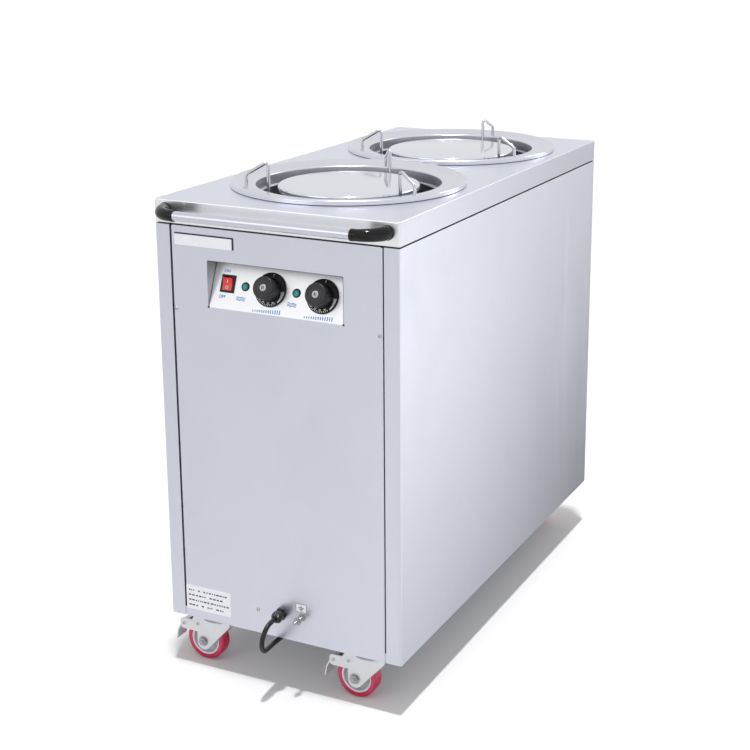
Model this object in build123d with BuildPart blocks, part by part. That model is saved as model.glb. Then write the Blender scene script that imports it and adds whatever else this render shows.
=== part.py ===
"""Two-well plate warmer cart: spring-lifted plate wells in a sheet steel cabinet on casters.

Frame: millimetres, +Z up, floor at Z = 0, origin under the middle of the cart.
The control side is the front and faces -Y. The handle's reach counts in the depth.
"""
from math import atan, cos, pi, radians, sin, tan
import os

from build123d import *

os.makedirs("parts", exist_ok=True)

# Cabinet shell
cabinet_width = 455.0
cabinet_depth = 905.0
table_height = 846.0
base_height = 95.0
sheet = 1.5
bend_radius = 2.5
skirt_height = 39.5
seam_gap = 2.5
joggle = 3.0
front_flange = 27.8
panel_gap = 2.6
return_depth = 12.0
tongue_width = 22.0
top_flange = 15.0
hook_height = 25.0
pan_sheet = 2.0
pan_upstand = 15.0
pan_corner = 4.0
vent_width = 6.0
vent_length = 70.0
vent_pitch = 18.0
vent_count = 6

# Screws
panel_screw_inset = 35.5
panel_screw_drop = 146.5
screw_radius = 2.0
screw_head = 3.8
low_screw_x = -48.0
low_screw_height = 43.6
handle_screw_radius = 3.0
handle_screw_head = 5.0

# Control recess in the front panel
recess_width = 254.4
recess_drop = 136.5
recess_height = 79.0
recess_depth = 31.0
recess_lap = 11.0
relief_radius = 1.5

# Controls: places are across the plate and up the plate from its lower edge
switch_x = -97.4
control_row = 42.5
lamp_places = {"left": -63.6, "right": 33.4}
knob_places = {"left": -14.9, "right": 82.0}
bezel_width = 26.5
bezel_length = 30.0
bezel_height = 2.2
switch_depth = 26.0
rocker_width = 18.0
rocker_length = 21.0
rocker_pivot = -2.5
rocker_crown = 6.3
rocker_tilt = 8.0
rocker_pin = 1.6
lamp_radius = 7.6
lamp_body_radius = 5.8
lamp_lens_radius = 5.2
lamp_depth = 22.0
dial_radius = 28.6
dial_lift = 0.8
dial_thickness = 3.4
knob_radius = 19.8
knob_height = 28.0
knob_draft = 2.0
knob_flutes = 18
cap_radius = 4.2
spindle_radius = 3.0
bush_radius = 4.8
thermostat_radius = 20.0
thermostat_depth = 26.0

# Handle
handle_reach = 46.0
handle_drop = 18.0
bar_radius = 8.0
bar_socket = 10.0
bracket_inset = 22.0
bracket_sweep = 42.5
bracket_mouth = 9.4
bracket_base = 12.0
bracket_collar = 0.5
bracket_foot = 2.5

# Wells
well_setback = 258.0
well_spacing = 428.0
barrel_height = 151.0
rim_radius = 206.0
rim_lift = 9.0
rim_slope = 16.0
ring_seat = 184.0
collar_radius = 162.0
collar_depth = 18.0
ledge_width = 6.0
barrel_radius = 164.2
barrel_flange = 180.0
barrel_hole_gap = 1.3
platform_radius = 124.5
platform_skirt = 27.0
platform_bend = 4.0
slide_gap = 0.5
arm_width = 26.0
arm_sheet = 3.0
arm_angle = 30.0
hub_radius = 62.0
shoe_depth = 6.5
shoe_height = 40.0
spring_radius = 50.0
spring_wire = 6.0
spring_turns = 6
spring_end = 3.5
spring_guide = 12.0
element_radius = 112.0
element_wire = 4.0
element_lift = 22.0
element_gap = 30.0
element_bend = 10.0
element_tail = 25.0
element_collar = 8.0
vent_hole = 10.0
vent_hole_circle = 85.0

# Plate guide rods: angles round the well, and how far each rod is swung at rest
rod_radius = 3.0
rod_circle = 140.0
rod_reach = 38.0
rod_rise = 42.0
rod_shoulder = 21.0
rod_bends = (5.0, 6.0)
rod_angles = {"left": -145.0, "right": -24.0, "back": 86.0}
rod_swings = {
    "front": {"left": 0.0, "right": 0.0, "back": 42.0},
    "rear": {"left": 0.0, "right": 8.0, "back": -6.0},
}
socket_radius = 7.0
socket_height = 25.0

# Casters
caster_x = 153.5
caster_inset = 40.0
caster_trail = 26.0
wheel_radius = 37.5
wheel_width = 25.0
tread_depth = 9.0
tread_chamfer = 2.5
hub_rim = 3.0
hub_web = 6.0
hub_boss = 10.0
plate_length = 92.0
plate_width = 64.0
plate_sheet = 2.5
plate_corner = 6.0
bolt_spacing_x = 74.0
bolt_spacing_y = 46.0
bolt_radius = 4.0
bolt_head = 7.5
bolt_head_height = 5.3
fork_sheet = 2.5
fork_gap = 30.0
crown_radius = 30.0
crown_height = 84.0
crown_sheet = 3.0
race_radius = 24.0
kingpin_radius = 5.0
kingpin_head = 9.0
kingpin_head_height = 3.0
axle_radius = 4.0
axle_nut = 7.0
axle_nut_height = 5.5
leg_end_radius = 13.0
leg_end_drop = 4.0
pedal_pin = 2.5
pedal_x = -41.5
pedal_z = 26.0
pedal_sheet = 2.2
pedal_boss = 5.5
rivet_radius = 3.2
rivet_height = 1.2
rivet_x = -11.7
rivet_z = 30.6

# Supply cord, gland, earth stud and terminal block
gland_x = -1.0
gland_height = 46.0
gland_reach = 24.0
gland_body_length = 9.0
gland_radius = 10.2
gland_thread = 7.8
cord_radius = 4.2
earth_x = 40.0
earth_height = 48.0
earth_reach = 29.0
earth_radius = 3.0
block_size = (70.0, 30.0, 24.0)
block_place = (-60.0, 62.0)
coil_radius = 50.0
coil_layers = 3
coil_x = -14.0
coil_setback = 700.0
coil_tail = 58.0
plug_radius = 16.0
plug_length = 40.0
plug_pin_radius = 2.4
plug_pin_length = 19.0
plug_pin_spacing = 19.0

# Clearances
running_fit = 0.05
loose_fit = 0.3

# Worked out from the sizes above
front_y = (handle_reach - cabinet_depth) / 2
back_y = front_y + cabinet_depth
middle_y = (front_y + back_y) / 2
side_x = cabinet_width / 2
skirt_bottom = table_height - skirt_height
panel_top = skirt_bottom - seam_gap
table_under = table_height - sheet
flange_x = side_x - front_flange
panel_x = flange_x - panel_gap
pan_bottom = base_height + sheet
pan_floor = pan_bottom + pan_sheet
return_bottom = pan_bottom + pan_upstand + 1.0
handle_z = table_height - handle_drop
bracket_x = side_x - bracket_inset
bar_end = bracket_x - bracket_sweep
panel_screw_x = side_x - panel_screw_inset
panel_screw_z = skirt_bottom - panel_screw_drop
well_y = {"front": front_y + well_setback, "rear": front_y + well_setback + well_spacing}
barrel_floor = base_height + barrel_height
recess_base = skirt_bottom - recess_drop
recess_top = recess_base + recess_height
lean = atan(recess_depth / recess_height)
ring_plane_top = table_height + 2 * sheet
arm_top = table_height - platform_skirt
shoe_top = table_height - collar_depth - sheet - slide_gap
spring_guide_radius = spring_radius - spring_wire
plate_bottom = pan_bottom - plate_sheet
kingpin_bottom = crown_height - crown_sheet - loose_fit
caster_centres = {
    "front_left": (-caster_x, front_y + caster_inset),
    "front_right": (caster_x, front_y + caster_inset),
    "rear_left": (-caster_x, back_y - caster_inset),
    "rear_right": (caster_x, back_y - caster_inset),
}

plug_start = (coil_x + coil_radius, front_y + coil_setback - coil_tail, plug_radius + loose_fit)

# Cord route after the gland's mouth: round under the cabinet's edge, down to the floor, to the coil
cord_rest = cord_radius + loose_fit
cord_points = (
    (gland_x, front_y - gland_reach, base_height + gland_height),
    (gland_x, front_y - 41.1, 141.0),
    (-1.5, front_y - 53.4, 133.9),
    (-3.0, front_y - 60.5, 121.6),
    (-5.0, front_y - 60.5, 107.4),
    (-7.5, front_y - 53.4, 95.1),
    (-10.0, front_y - 41.1, 88.0),
    (-12.0, front_y - 24.0, 87.0),
    (-13.5, front_y - 1.0, 86.4),
    (-14.5, front_y + 34.0, 83.5),
    (-16.0, front_y + 76.0, 75.0),
    (-16.5, front_y + 118.0, 62.0),
    (-18.5, front_y + 158.0, 46.0),
    (-22.0, front_y + 198.0, 31.0),
    (-27.0, front_y + 240.0, 18.0),
    (-33.0, front_y + 286.0, 9.0),
    (-39.0, front_y + 335.0, cord_rest + 0.6),
    (-42.0, front_y + 386.0, cord_rest),
    (-41.0, front_y + 438.0, cord_rest),
    (-45.0, front_y + 491.0, cord_rest),
    (-53.0, front_y + 545.0, cord_rest),
    (-60.0, front_y + 598.0, cord_rest),
    (coil_x - coil_radius - 1.0, front_y + 649.0, cord_rest),
    (coil_x - coil_radius, front_y + coil_setback, cord_rest),
)
front_plane = Plane.XZ.offset(-front_y)
back_plane = Plane(origin=(0, back_y, 0), x_dir=(-1, 0, 0), z_dir=(0, 1, 0))
control_plane = Plane(
    origin=(0, front_y, recess_base), x_dir=(1, 0, 0), z_dir=(0, -cos(lean), sin(lean))
)


def save(piece, name):
    """Label a finished piece and write its STEP file."""
    piece.label = name
    export_step(piece, f"parts/{name}.step")


def folded_sheet(points, height, thickness=sheet):
    """Plan section of a folded panel whose outer face follows the points."""
    with BuildSketch(Plane.XY.offset(height)) as section:
        with BuildLine():
            face = FilletPolyline(*points, radius=bend_radius)
            offset(face, amount=thickness, side=Side.LEFT)
        make_face()
    return section.sketch


def well_section(y, points, radii, side):
    """Upright section of a spun sheet, with radius across and height up."""
    with BuildSketch(Plane.XZ.offset(-y)) as section:
        with BuildLine():
            face = FilletPolyline(*points, radius=radii)
            offset(face, amount=sheet, side=side)
        make_face()
    return section.sketch


# ---------------------------------------------------------------- cabinet shell


def make_table_top():
    """Inverted tray that closes the cabinet, with one hole for each well."""
    inner = (cabinet_width - 2 * sheet, cabinet_depth - 2 * sheet)
    with BuildPart() as table_top:
        with BuildSketch(Plane.XY.offset(skirt_bottom)):
            with Locations((0, middle_y)):
                Rectangle(cabinet_width, cabinet_depth)
        extrude(amount=skirt_height)
        fillet(table_top.edges().filter_by(Axis.Z), bend_radius)
        fillet(table_top.faces().sort_by(Axis.Z)[-1].edges(), bend_radius)
        with BuildSketch(Plane.XY.offset(skirt_bottom)):
            with Locations((0, middle_y)):
                RectangleRounded(*inner, bend_radius - sheet)
        extrude(amount=skirt_height - sheet, mode=Mode.SUBTRACT)
        with BuildSketch(Plane.XY.offset(table_under)):
            with Locations(*[(0, y) for y in well_y.values()]):
                Circle(barrel_radius + sheet + barrel_hole_gap)
        extrude(amount=sheet, mode=Mode.SUBTRACT)
        with BuildSketch(front_plane):
            with Locations((-bracket_x, handle_z), (bracket_x, handle_z)):
                Circle(handle_screw_radius)
        extrude(amount=-sheet, mode=Mode.SUBTRACT)
    return table_top.part


def make_side_panel():
    """Right side: wall with front and back flanges, tongues, joggled top and base return."""
    wall = ((flange_x, front_y), (side_x, front_y), (side_x, back_y), (flange_x, back_y))
    tongue_x = flange_x - tongue_width
    tongued_wall = (
        (tongue_x, front_y + return_depth),
        (flange_x, front_y + return_depth),
        *wall,
        (flange_x, back_y - return_depth),
        (tongue_x, back_y - return_depth),
    )
    inset_wall = (
        (flange_x, front_y + joggle),
        (side_x - joggle, front_y + joggle),
        (side_x - joggle, back_y - joggle),
        (flange_x, back_y - joggle),
    )
    with BuildPart() as side_panel:
        extrude(folded_sheet(wall, base_height), amount=panel_top - base_height)
        extrude(folded_sheet(tongued_wall, return_bottom), amount=panel_top - sheet - return_bottom)
        extrude(folded_sheet(inset_wall, panel_top - sheet), amount=table_under - panel_top + sheet)
        with BuildSketch(Plane.XY.offset(panel_top - sheet)) as shelf:
            with Locations(((flange_x + side_x) / 2, middle_y)):
                Rectangle(front_flange, cabinet_depth)
            fillet(shelf.vertices().group_by(Axis.X)[-1], bend_radius)
            with Locations(((flange_x + side_x - joggle - sheet) / 2, middle_y)):
                Rectangle(
                    front_flange - joggle - sheet,
                    cabinet_depth - 2 * joggle - 2 * sheet,
                    mode=Mode.SUBTRACT,
                )
        extrude(amount=sheet)
        with BuildSketch(Plane.XY.offset(table_under - sheet)):
            with Locations((side_x - joggle - (top_flange + sheet) / 2, middle_y)):
                Rectangle(top_flange, cabinet_depth - 2 * joggle - 2 * bend_radius)
        extrude(amount=sheet)
        with BuildSketch(Plane.XY.offset(base_height)):
            with Locations((side_x - (top_flange + sheet) / 2, middle_y)):
                Rectangle(top_flange, cabinet_depth - 2 * sheet)
        extrude(amount=sheet)
        with BuildSketch(front_plane):
            with Locations((panel_screw_x, panel_screw_z)):
                Circle(screw_radius)
        extrude(amount=-return_depth - 2 * sheet, mode=Mode.SUBTRACT)
        with BuildSketch(back_plane):
            with Locations((-panel_screw_x, panel_screw_z)):
                Circle(screw_radius)
        extrude(amount=-return_depth - 2 * sheet, mode=Mode.SUBTRACT)
        with BuildSketch(front_plane.offset(-joggle)):
            with Locations((bracket_x, handle_z)):
                Circle(handle_screw_radius)
        extrude(amount=-sheet, mode=Mode.SUBTRACT)
    return side_panel.part


def make_blank_panel():
    """Front panel before its cut-outs: folded sides, and a top that hooks inside the skirt."""
    tray = (
        (-panel_x, front_y + return_depth),
        (-panel_x, front_y),
        (panel_x, front_y),
        (panel_x, front_y + return_depth),
    )
    with BuildPart() as panel:
        extrude(folded_sheet(tray, return_bottom), amount=panel_top - sheet - return_bottom)
        with BuildSketch(front_plane):
            with Locations((0, (base_height + panel_top) / 2)):
                Rectangle(2 * panel_x - 2 * bend_radius, panel_top - base_height)
            with Locations((0, (base_height + return_bottom) / 2)):
                Rectangle(2 * panel_x, return_bottom - base_height)
        extrude(amount=-sheet)
        with BuildSketch(Plane.YZ):
            with Locations((front_y, panel_top)):
                Rectangle(joggle + sheet, sheet, align=(Align.MIN, Align.MAX))
            with Locations((front_y + joggle, panel_top - sheet)):
                Rectangle(sheet, hook_height, align=(Align.MIN, Align.MIN))
        extrude(amount=panel_x - bend_radius, both=True)
        with BuildSketch(front_plane):
            with Locations(
                (-panel_screw_x, panel_screw_z),
                (panel_screw_x, panel_screw_z),
            ):
                Circle(screw_radius)
        extrude(amount=-sheet, mode=Mode.SUBTRACT)
    return panel.part


def make_front_panel(blank):
    """Front panel with the relieved control window and holes for gland, earth stud and low screw."""
    with BuildPart() as front_panel:
        add(blank)
        with BuildSketch(front_plane):
            with Locations((0, recess_base + recess_height / 2)):
                Rectangle(recess_width, recess_height)
            with Locations((-recess_width / 2, recess_base), (recess_width / 2, recess_base)):
                Circle(relief_radius)
            with Locations((gland_x, base_height + gland_height)):
                Circle(gland_thread)
            with Locations((earth_x, base_height + earth_height)):
                Circle(earth_radius)
            with Locations((low_screw_x, base_height + low_screw_height)):
                Circle(screw_radius)
        extrude(amount=-sheet, mode=Mode.SUBTRACT)
    return front_panel.part


def make_base_pan():
    """Floor tray that carries the casters, with vent slots under each well."""
    size = (cabinet_width - 2 * sheet, cabinet_depth - 2 * sheet)
    inner = (size[0] - 2 * pan_sheet, size[1] - 2 * pan_sheet)
    with BuildPart() as base_pan:
        with BuildSketch(Plane.XY.offset(pan_bottom)):
            with Locations((0, middle_y)):
                RectangleRounded(*size, pan_corner)
        extrude(amount=pan_upstand)
        with BuildSketch(Plane.XY.offset(pan_floor)):
            with Locations((0, middle_y)):
                RectangleRounded(*inner, pan_corner - pan_sheet)
        extrude(amount=pan_upstand, mode=Mode.SUBTRACT)
        with BuildSketch(Plane.XY.offset(pan_bottom)):
            with Locations(*[(0, y) for y in well_y.values()]):
                with GridLocations(vent_pitch, vent_pitch, vent_count, 1):
                    Rectangle(vent_width, vent_length)
            with Locations(*caster_centres.values()):
                with GridLocations(bolt_spacing_x, bolt_spacing_y, 2, 2):
                    Circle(bolt_radius)
        extrude(amount=pan_sheet, mode=Mode.SUBTRACT)
    return base_pan.part


# ---------------------------------------------------------------- controls


def make_control_plate():
    """Recess box behind the window: leaning plate, cheeks, roof and a lap behind the panel."""
    drop = sheet / sin(lean)
    box_top = recess_top + sheet
    box_depth = (box_top - recess_base + drop) * tan(lean)
    with BuildPart() as control_plate:
        with BuildSketch(front_plane.offset(-sheet)):
            with Locations((0, recess_base + recess_height / 2)):
                Rectangle(recess_width + 2 * recess_lap, recess_height + 2 * recess_lap)
        extrude(amount=-sheet)
        with BuildSketch(Plane.YZ):
            with BuildLine():
                Polyline(
                    (front_y, recess_base - drop),
                    (front_y, box_top),
                    (front_y + box_depth, box_top),
                    close=True,
                )
            make_face()
        extrude(amount=recess_width / 2 + sheet, both=True)
        with BuildSketch(Plane.YZ):
            with BuildLine():
                Polyline(
                    (front_y, recess_base),
                    (front_y, recess_top),
                    (front_y + recess_depth, recess_top),
                    close=True,
                )
            make_face()
        extrude(amount=recess_width / 2, both=True, mode=Mode.SUBTRACT)
        with BuildSketch(front_plane):
            with Locations((0, recess_base + recess_height / 2)):
                Rectangle(recess_width + 4 * recess_lap, recess_height + 4 * recess_lap)
                Rectangle(recess_width, recess_height, mode=Mode.SUBTRACT)
        extrude(amount=-sheet, mode=Mode.SUBTRACT)
        with BuildSketch(control_plane):
            with Locations((switch_x, control_row)):
                Rectangle(bezel_width - 4, bezel_length - 2)
            with Locations(*[(x, control_row) for x in lamp_places.values()]):
                Circle(lamp_body_radius + loose_fit)
            with Locations(*[(x, control_row) for x in knob_places.values()]):
                Circle(bush_radius + loose_fit)
        extrude(amount=-2 * sheet, mode=Mode.SUBTRACT)
    return control_plate.part


def rocker_plane(tilt):
    """Plane on the rocker's pivot, across the plate, with up-plate and outward as its axes."""
    pivot = control_plane.from_local_coords(Vector(switch_x, control_row, rocker_pivot))
    return Plane(origin=pivot, x_dir=control_plane.y_dir.rotate(Axis.X, tilt), z_dir=(1, 0, 0))


def make_switch_housing():
    """Snap-in switch body with its bezel, rocker well, pivot holes and two blades."""
    body = (bezel_width - 5, bezel_length - 3)
    with BuildPart() as housing:
        with BuildSketch(control_plane):
            with Locations((switch_x, control_row)):
                RectangleRounded(bezel_width, bezel_length, 1.5)
        extrude(amount=bezel_height)
        fillet(housing.faces().sort_by(Axis(control_plane.origin, control_plane.z_dir))[-1].edges(), 0.8)
        with BuildSketch(control_plane):
            with Locations((switch_x, control_row)):
                Rectangle(*body)
        extrude(amount=-switch_depth)
        with BuildSketch(control_plane.offset(bezel_height)):
            with Locations((switch_x, control_row)):
                Rectangle(rocker_width + 2 * loose_fit, rocker_length + 2.6)
        extrude(amount=-bezel_height - 10, mode=Mode.SUBTRACT)
        with BuildSketch(rocker_plane(0)):
            Circle(rocker_pin + running_fit)
        extrude(amount=body[0] / 2, both=True, mode=Mode.SUBTRACT)
        with BuildSketch(control_plane.offset(-switch_depth)):
            with Locations((switch_x, control_row - 7), (switch_x, control_row + 7)):
                Rectangle(6.3, 0.8)
        extrude(amount=-8)
    return housing.part


def make_rocker():
    """Rocker button on two stub pins, resting with its upper end raised."""
    half = rocker_length / 2
    with BuildPart() as rocker:
        with BuildSketch(rocker_plane(rocker_tilt)):
            with BuildLine():
                Polyline(
                    (-half, 0),
                    (-half, rocker_crown),
                    (0, rocker_crown - 1.6),
                    (half, rocker_crown),
                    (half, 0),
                )
                ThreePointArc((half, 0), (0, -5.0), (-half, 0))
            make_face()
        extrude(amount=rocker_width / 2, both=True)
        with BuildSketch(rocker_plane(rocker_tilt)):
            Circle(rocker_pin)
        extrude(amount=bezel_width / 2 - 2.5, both=True)
    return rocker.part


def make_signal_lamp(x):
    """Signal lamp: bezel and barrel as one piece, lens as the other."""
    with BuildPart() as barrel:
        with BuildSketch(control_plane):
            with Locations((x, control_row)):
                Circle(lamp_radius)
        extrude(amount=bezel_height)
        with BuildSketch(control_plane):
            with Locations((x, control_row)):
                Circle(lamp_body_radius)
        extrude(amount=-lamp_depth)
        with BuildSketch(control_plane.offset(bezel_height)):
            with Locations((x, control_row)):
                Circle(lamp_lens_radius)
        extrude(amount=-2 * bezel_height, mode=Mode.SUBTRACT)
    with BuildPart() as lens:
        with BuildSketch(control_plane.offset(-bezel_height)):
            with Locations((x, control_row)):
                Circle(lamp_lens_radius)
        extrude(amount=2 * bezel_height + 2.5)
        crown = lens.faces().sort_by(Axis(control_plane.origin, control_plane.z_dir))[-1]
        fillet(crown.edges(), 2.2)
    return Compound(children=[barrel.part, lens.part])


def make_thermostat(x):
    """Thermostat behind the plate: mounting ear, case and the bush that guides the spindle."""
    with BuildPart() as thermostat:
        with BuildSketch(control_plane.offset(-sheet)):
            with Locations((x, control_row)):
                RectangleRounded(2 * thermostat_radius + 6, 16, 4)
        extrude(amount=-sheet)
        with BuildSketch(control_plane.offset(-2 * sheet)):
            with Locations((x, control_row)):
                Circle(thermostat_radius)
        extrude(amount=-thermostat_depth)
        with BuildSketch(control_plane.offset(-2 * sheet)):
            with Locations((x, control_row)):
                Circle(bush_radius)
        extrude(amount=2 * sheet + dial_lift / 2)
        with BuildSketch(control_plane.offset(dial_lift / 2)):
            with Locations((x, control_row)):
                Circle(spindle_radius + running_fit)
        extrude(amount=-thermostat_depth + 4, mode=Mode.SUBTRACT)
    return thermostat.part


def make_knob(x):
    """Fluted knob with its dial skirt and spindle, and the metal cap in its face."""
    with BuildPart() as knob:
        with BuildSketch(control_plane.offset(dial_lift)):
            with Locations((x, control_row)):
                Circle(dial_radius)
        extrude(amount=dial_thickness)
        face_axis = Axis(control_plane.origin, control_plane.z_dir)
        chamfer(knob.faces().sort_by(face_axis)[-1].edges(), 1.2)
        with BuildSketch(control_plane.offset(dial_lift + dial_thickness)) as grip:
            with Locations((x, control_row)):
                Circle(knob_radius)
                with PolarLocations(knob_radius + 1.0, knob_flutes):
                    Circle(2.0, mode=Mode.SUBTRACT)
        extrude(amount=knob_height - dial_lift - dial_thickness, taper=knob_draft)
        with BuildSketch(control_plane.offset(knob_height)):
            with Locations((x, control_row)):
                Circle(cap_radius)
        extrude(amount=-2 * sheet, mode=Mode.SUBTRACT)
        with BuildSketch(control_plane.offset(dial_lift)):
            with Locations((x, control_row)):
                Circle(spindle_radius)
        extrude(amount=-thermostat_depth + 8)
    with BuildPart() as cap:
        with BuildSketch(control_plane.offset(knob_height - 2 * sheet)):
            with Locations((x, control_row)):
                Circle(cap_radius)
        extrude(amount=2 * sheet + 0.4)
    return Compound(children=[knob.part, cap.part])


# ---------------------------------------------------------------- handle


def make_handle_bar():
    """Straight steel bar between the two brackets."""
    with BuildPart() as bar:
        with BuildSketch(Plane.YZ):
            with Locations((front_y - handle_reach + bar_radius, handle_z)):
                Circle(bar_radius)
        extrude(amount=bar_end + bar_socket, both=True)
    return bar.part


def make_bracket():
    """Right end bracket: a tapering elbow from the skirt round to the bar."""
    sweep_x = bracket_x - bar_end
    sweep_y = handle_reach - bar_radius
    with BuildPart() as bracket:
        with BuildLine(Plane.XY.offset(handle_z)) as path:
            EllipticalCenterArc((bar_end, front_y), sweep_x, sweep_y, start_angle=-90, arc_size=90)
        with BuildSketch(Plane(origin=path.line @ 0, z_dir=path.line % 0)):
            Circle(bracket_mouth)
        with BuildSketch(Plane(origin=path.line @ 1, z_dir=path.line % 1)):
            Circle(bracket_base)
        sweep(multisection=True)
        with BuildSketch(front_plane):
            with Locations((bracket_x, handle_z)):
                Circle(bracket_base + bracket_collar)
        extrude(amount=bracket_foot)
        with BuildSketch(Plane.YZ.offset(bar_end)):
            with Locations((front_y - sweep_y, handle_z)):
                Circle(bracket_mouth + bracket_collar)
        extrude(amount=6)
        with BuildSketch(Plane.YZ.offset(bar_end)):
            with Locations((front_y - sweep_y, handle_z)):
                Circle(bar_radius)
        extrude(amount=bar_socket, mode=Mode.SUBTRACT)
        with BuildSketch(front_plane):
            with Locations((bracket_x, handle_z)):
                Circle(handle_screw_radius)
        extrude(amount=bar_socket, mode=Mode.SUBTRACT)
    return bracket.part


# ---------------------------------------------------------------- wells


def well_axis(y):
    """Upright axis of a well."""
    return Axis((0, y, 0), (0, 0, 1))


def make_well_ring(y):
    """Rolled top ring whose collar drops into the barrel and ends in an inward ledge."""
    collar_bottom = table_height - collar_depth
    rim_top = table_height + rim_lift
    points = (
        (collar_radius - ledge_width, collar_bottom),
        (collar_radius, collar_bottom),
        (collar_radius, ring_plane_top),
        (ring_seat, ring_plane_top),
        (ring_seat + rim_slope, rim_top),
        (rim_radius, rim_top),
        (rim_radius, table_height + 1.0),
    )
    with BuildPart() as ring:
        section = well_section(y, points, (1.0, 3.0, 6.0, 4.0, 3.5), Side.RIGHT)
        revolve(section, axis=well_axis(y))
    return ring.part


def make_barrel(y):
    """Well barrel hung by its flange, with vents, a spring guide and the rod sockets."""
    points = (
        (barrel_flange, table_height + sheet),
        (barrel_radius, table_height + sheet),
        (barrel_radius, barrel_floor),
        (0, barrel_floor),
    )
    with BuildPart() as barrel:
        revolve(well_section(y, points, bend_radius, Side.LEFT), axis=well_axis(y))
        with BuildSketch(Plane.XY.offset(barrel_floor)):
            with Locations((0, y)):
                Circle(spring_guide_radius)
                Circle(spring_guide_radius - arm_sheet, mode=Mode.SUBTRACT)
        extrude(amount=spring_guide)
        with BuildSketch(Plane.XY.offset(barrel_floor)):
            for angle in rod_angles.values():
                with Locations(rod_foot(y, angle)):
                    Circle(socket_radius)
                    Circle(rod_radius + running_fit, mode=Mode.SUBTRACT)
        extrude(amount=socket_height)
        with BuildSketch(Plane.XY.offset(barrel_floor)):
            with Locations((0, y)):
                with PolarLocations(vent_hole_circle, 6):
                    Circle(vent_hole)
            with Locations(element_leg(y, -1), element_leg(y, 1)):
                Circle(element_wire + loose_fit)
        extrude(amount=-sheet, mode=Mode.SUBTRACT)
    return barrel.part


def make_platform(y):
    """Polished plate platform: a shallow inverted pan."""
    points = (
        (0, table_height),
        (platform_radius, table_height),
        (platform_radius, arm_top),
    )
    with BuildPart() as platform:
        revolve(well_section(y, points, platform_bend, Side.RIGHT), axis=well_axis(y))
    return platform.part


def make_carrier(y):
    """Three-arm carrier under the platform, with turned-up shoes that run on the barrel wall."""
    arm_length = barrel_radius - slide_gap - shoe_depth / 2
    shoe_face = barrel_radius - slide_gap
    with BuildPart() as carrier:
        with BuildSketch(Plane.XY.offset(arm_top - arm_sheet)):
            with Locations((0, y)):
                Circle(hub_radius)
                with PolarLocations(arm_length / 2, 3, start_angle=arm_angle):
                    Rectangle(arm_length, arm_width)
        extrude(amount=arm_sheet)
        with BuildSketch(Plane.XY.offset(shoe_top - shoe_height)):
            with Locations((0, y)):
                with PolarLocations(shoe_face - shoe_depth / 2, 3, start_angle=arm_angle):
                    Rectangle(2 * shoe_depth, arm_width)
                Circle(shoe_face, mode=Mode.INTERSECT)
                Circle(shoe_face - shoe_depth, mode=Mode.SUBTRACT)
        extrude(amount=shoe_height)
        with BuildSketch(Plane.XY.offset(arm_top - arm_sheet)):
            with Locations((0, y)):
                Circle(spring_guide_radius)
                Circle(spring_guide_radius - arm_sheet, mode=Mode.SUBTRACT)
        extrude(amount=-spring_guide)
    return carrier.part


def make_spring(y):
    """Square-wire compression spring between barrel floor and carrier."""
    bottom = barrel_floor + spring_end
    rise = arm_top - arm_sheet - spring_end - bottom
    with BuildPart() as spring:
        with BuildLine() as coil:
            Helix(pitch=rise / spring_turns, height=rise, radius=spring_radius, center=(0, y, bottom))
        with BuildSketch(Plane(origin=coil.line @ 0, x_dir=(1, 0, 0), z_dir=coil.line % 0)):
            Rectangle(spring_wire, spring_wire)
        sweep(is_frenet=True)
    return spring.part


def element_leg(y, side):
    """Plan position of one leg of the element, on the left (-1) or the right (1) of its gap."""
    half_gap = radians(element_gap / 2)
    across = element_radius * sin(half_gap) - element_bend * cos(half_gap)
    return (element_radius * cos(half_gap) + element_bend * sin(half_gap), y + side * across)


def make_element(y):
    """Tubular heating element: an open ring whose two ends bend down through the barrel floor."""
    ring_height = barrel_floor + element_lift
    bend_foot = ring_height - element_bend
    half_gap = element_gap / 2
    legs = [element_leg(y, side) for side in (1, -1)]
    with BuildPart() as element:
        with BuildLine() as path:
            ring = CenterArc((0, y, ring_height), element_radius, half_gap, 360 - element_gap)
            rise = TangentArc((*legs[0], bend_foot), ring @ 0, tangent=(0, 0, 1))
            fall = TangentArc((*legs[1], bend_foot), ring @ 1, tangent=(0, 0, 1))
            Line((*legs[0], barrel_floor - element_tail), rise @ 0)
            Line(fall @ 0, (*legs[1], barrel_floor - element_tail))
        with BuildSketch(Plane.XY.offset(barrel_floor - element_tail)):
            with Locations(legs[0]):
                Circle(element_wire)
        sweep(path=path.wires()[0])
        with BuildSketch(Plane.XY.offset(barrel_floor)):
            with Locations(*legs):
                Circle(element_collar)
        extrude(amount=arm_sheet)
    return element.part


def rod_foot(y, angle):
    """Plan position of a guide rod's long leg."""
    return (rod_circle * cos(radians(angle)), y + rod_circle * sin(radians(angle)))


def make_guide_rod(y, angle, swing):
    """Bent plate guide: a long leg in its socket and a short leg over the ring."""
    heading = radians(angle + swing)
    foot = rod_foot(y, angle)
    plane = Plane(
        origin=(*foot, 0), x_dir=(cos(heading), sin(heading), 0), z_dir=(sin(heading), -cos(heading), 0)
    )
    with BuildPart() as rod:
        with BuildLine(plane) as path:
            FilletPolyline(
                (0, barrel_floor + loose_fit),
                (0, table_height + rod_rise),
                (rod_reach, table_height + rod_shoulder),
                (rod_reach, ring_plane_top + loose_fit),
                radius=rod_bends,
            )
        with BuildSketch(Plane(origin=path.line @ 0, z_dir=path.line % 0)):
            Circle(rod_radius)
        sweep()
    return rod.part


# ---------------------------------------------------------------- casters


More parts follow.
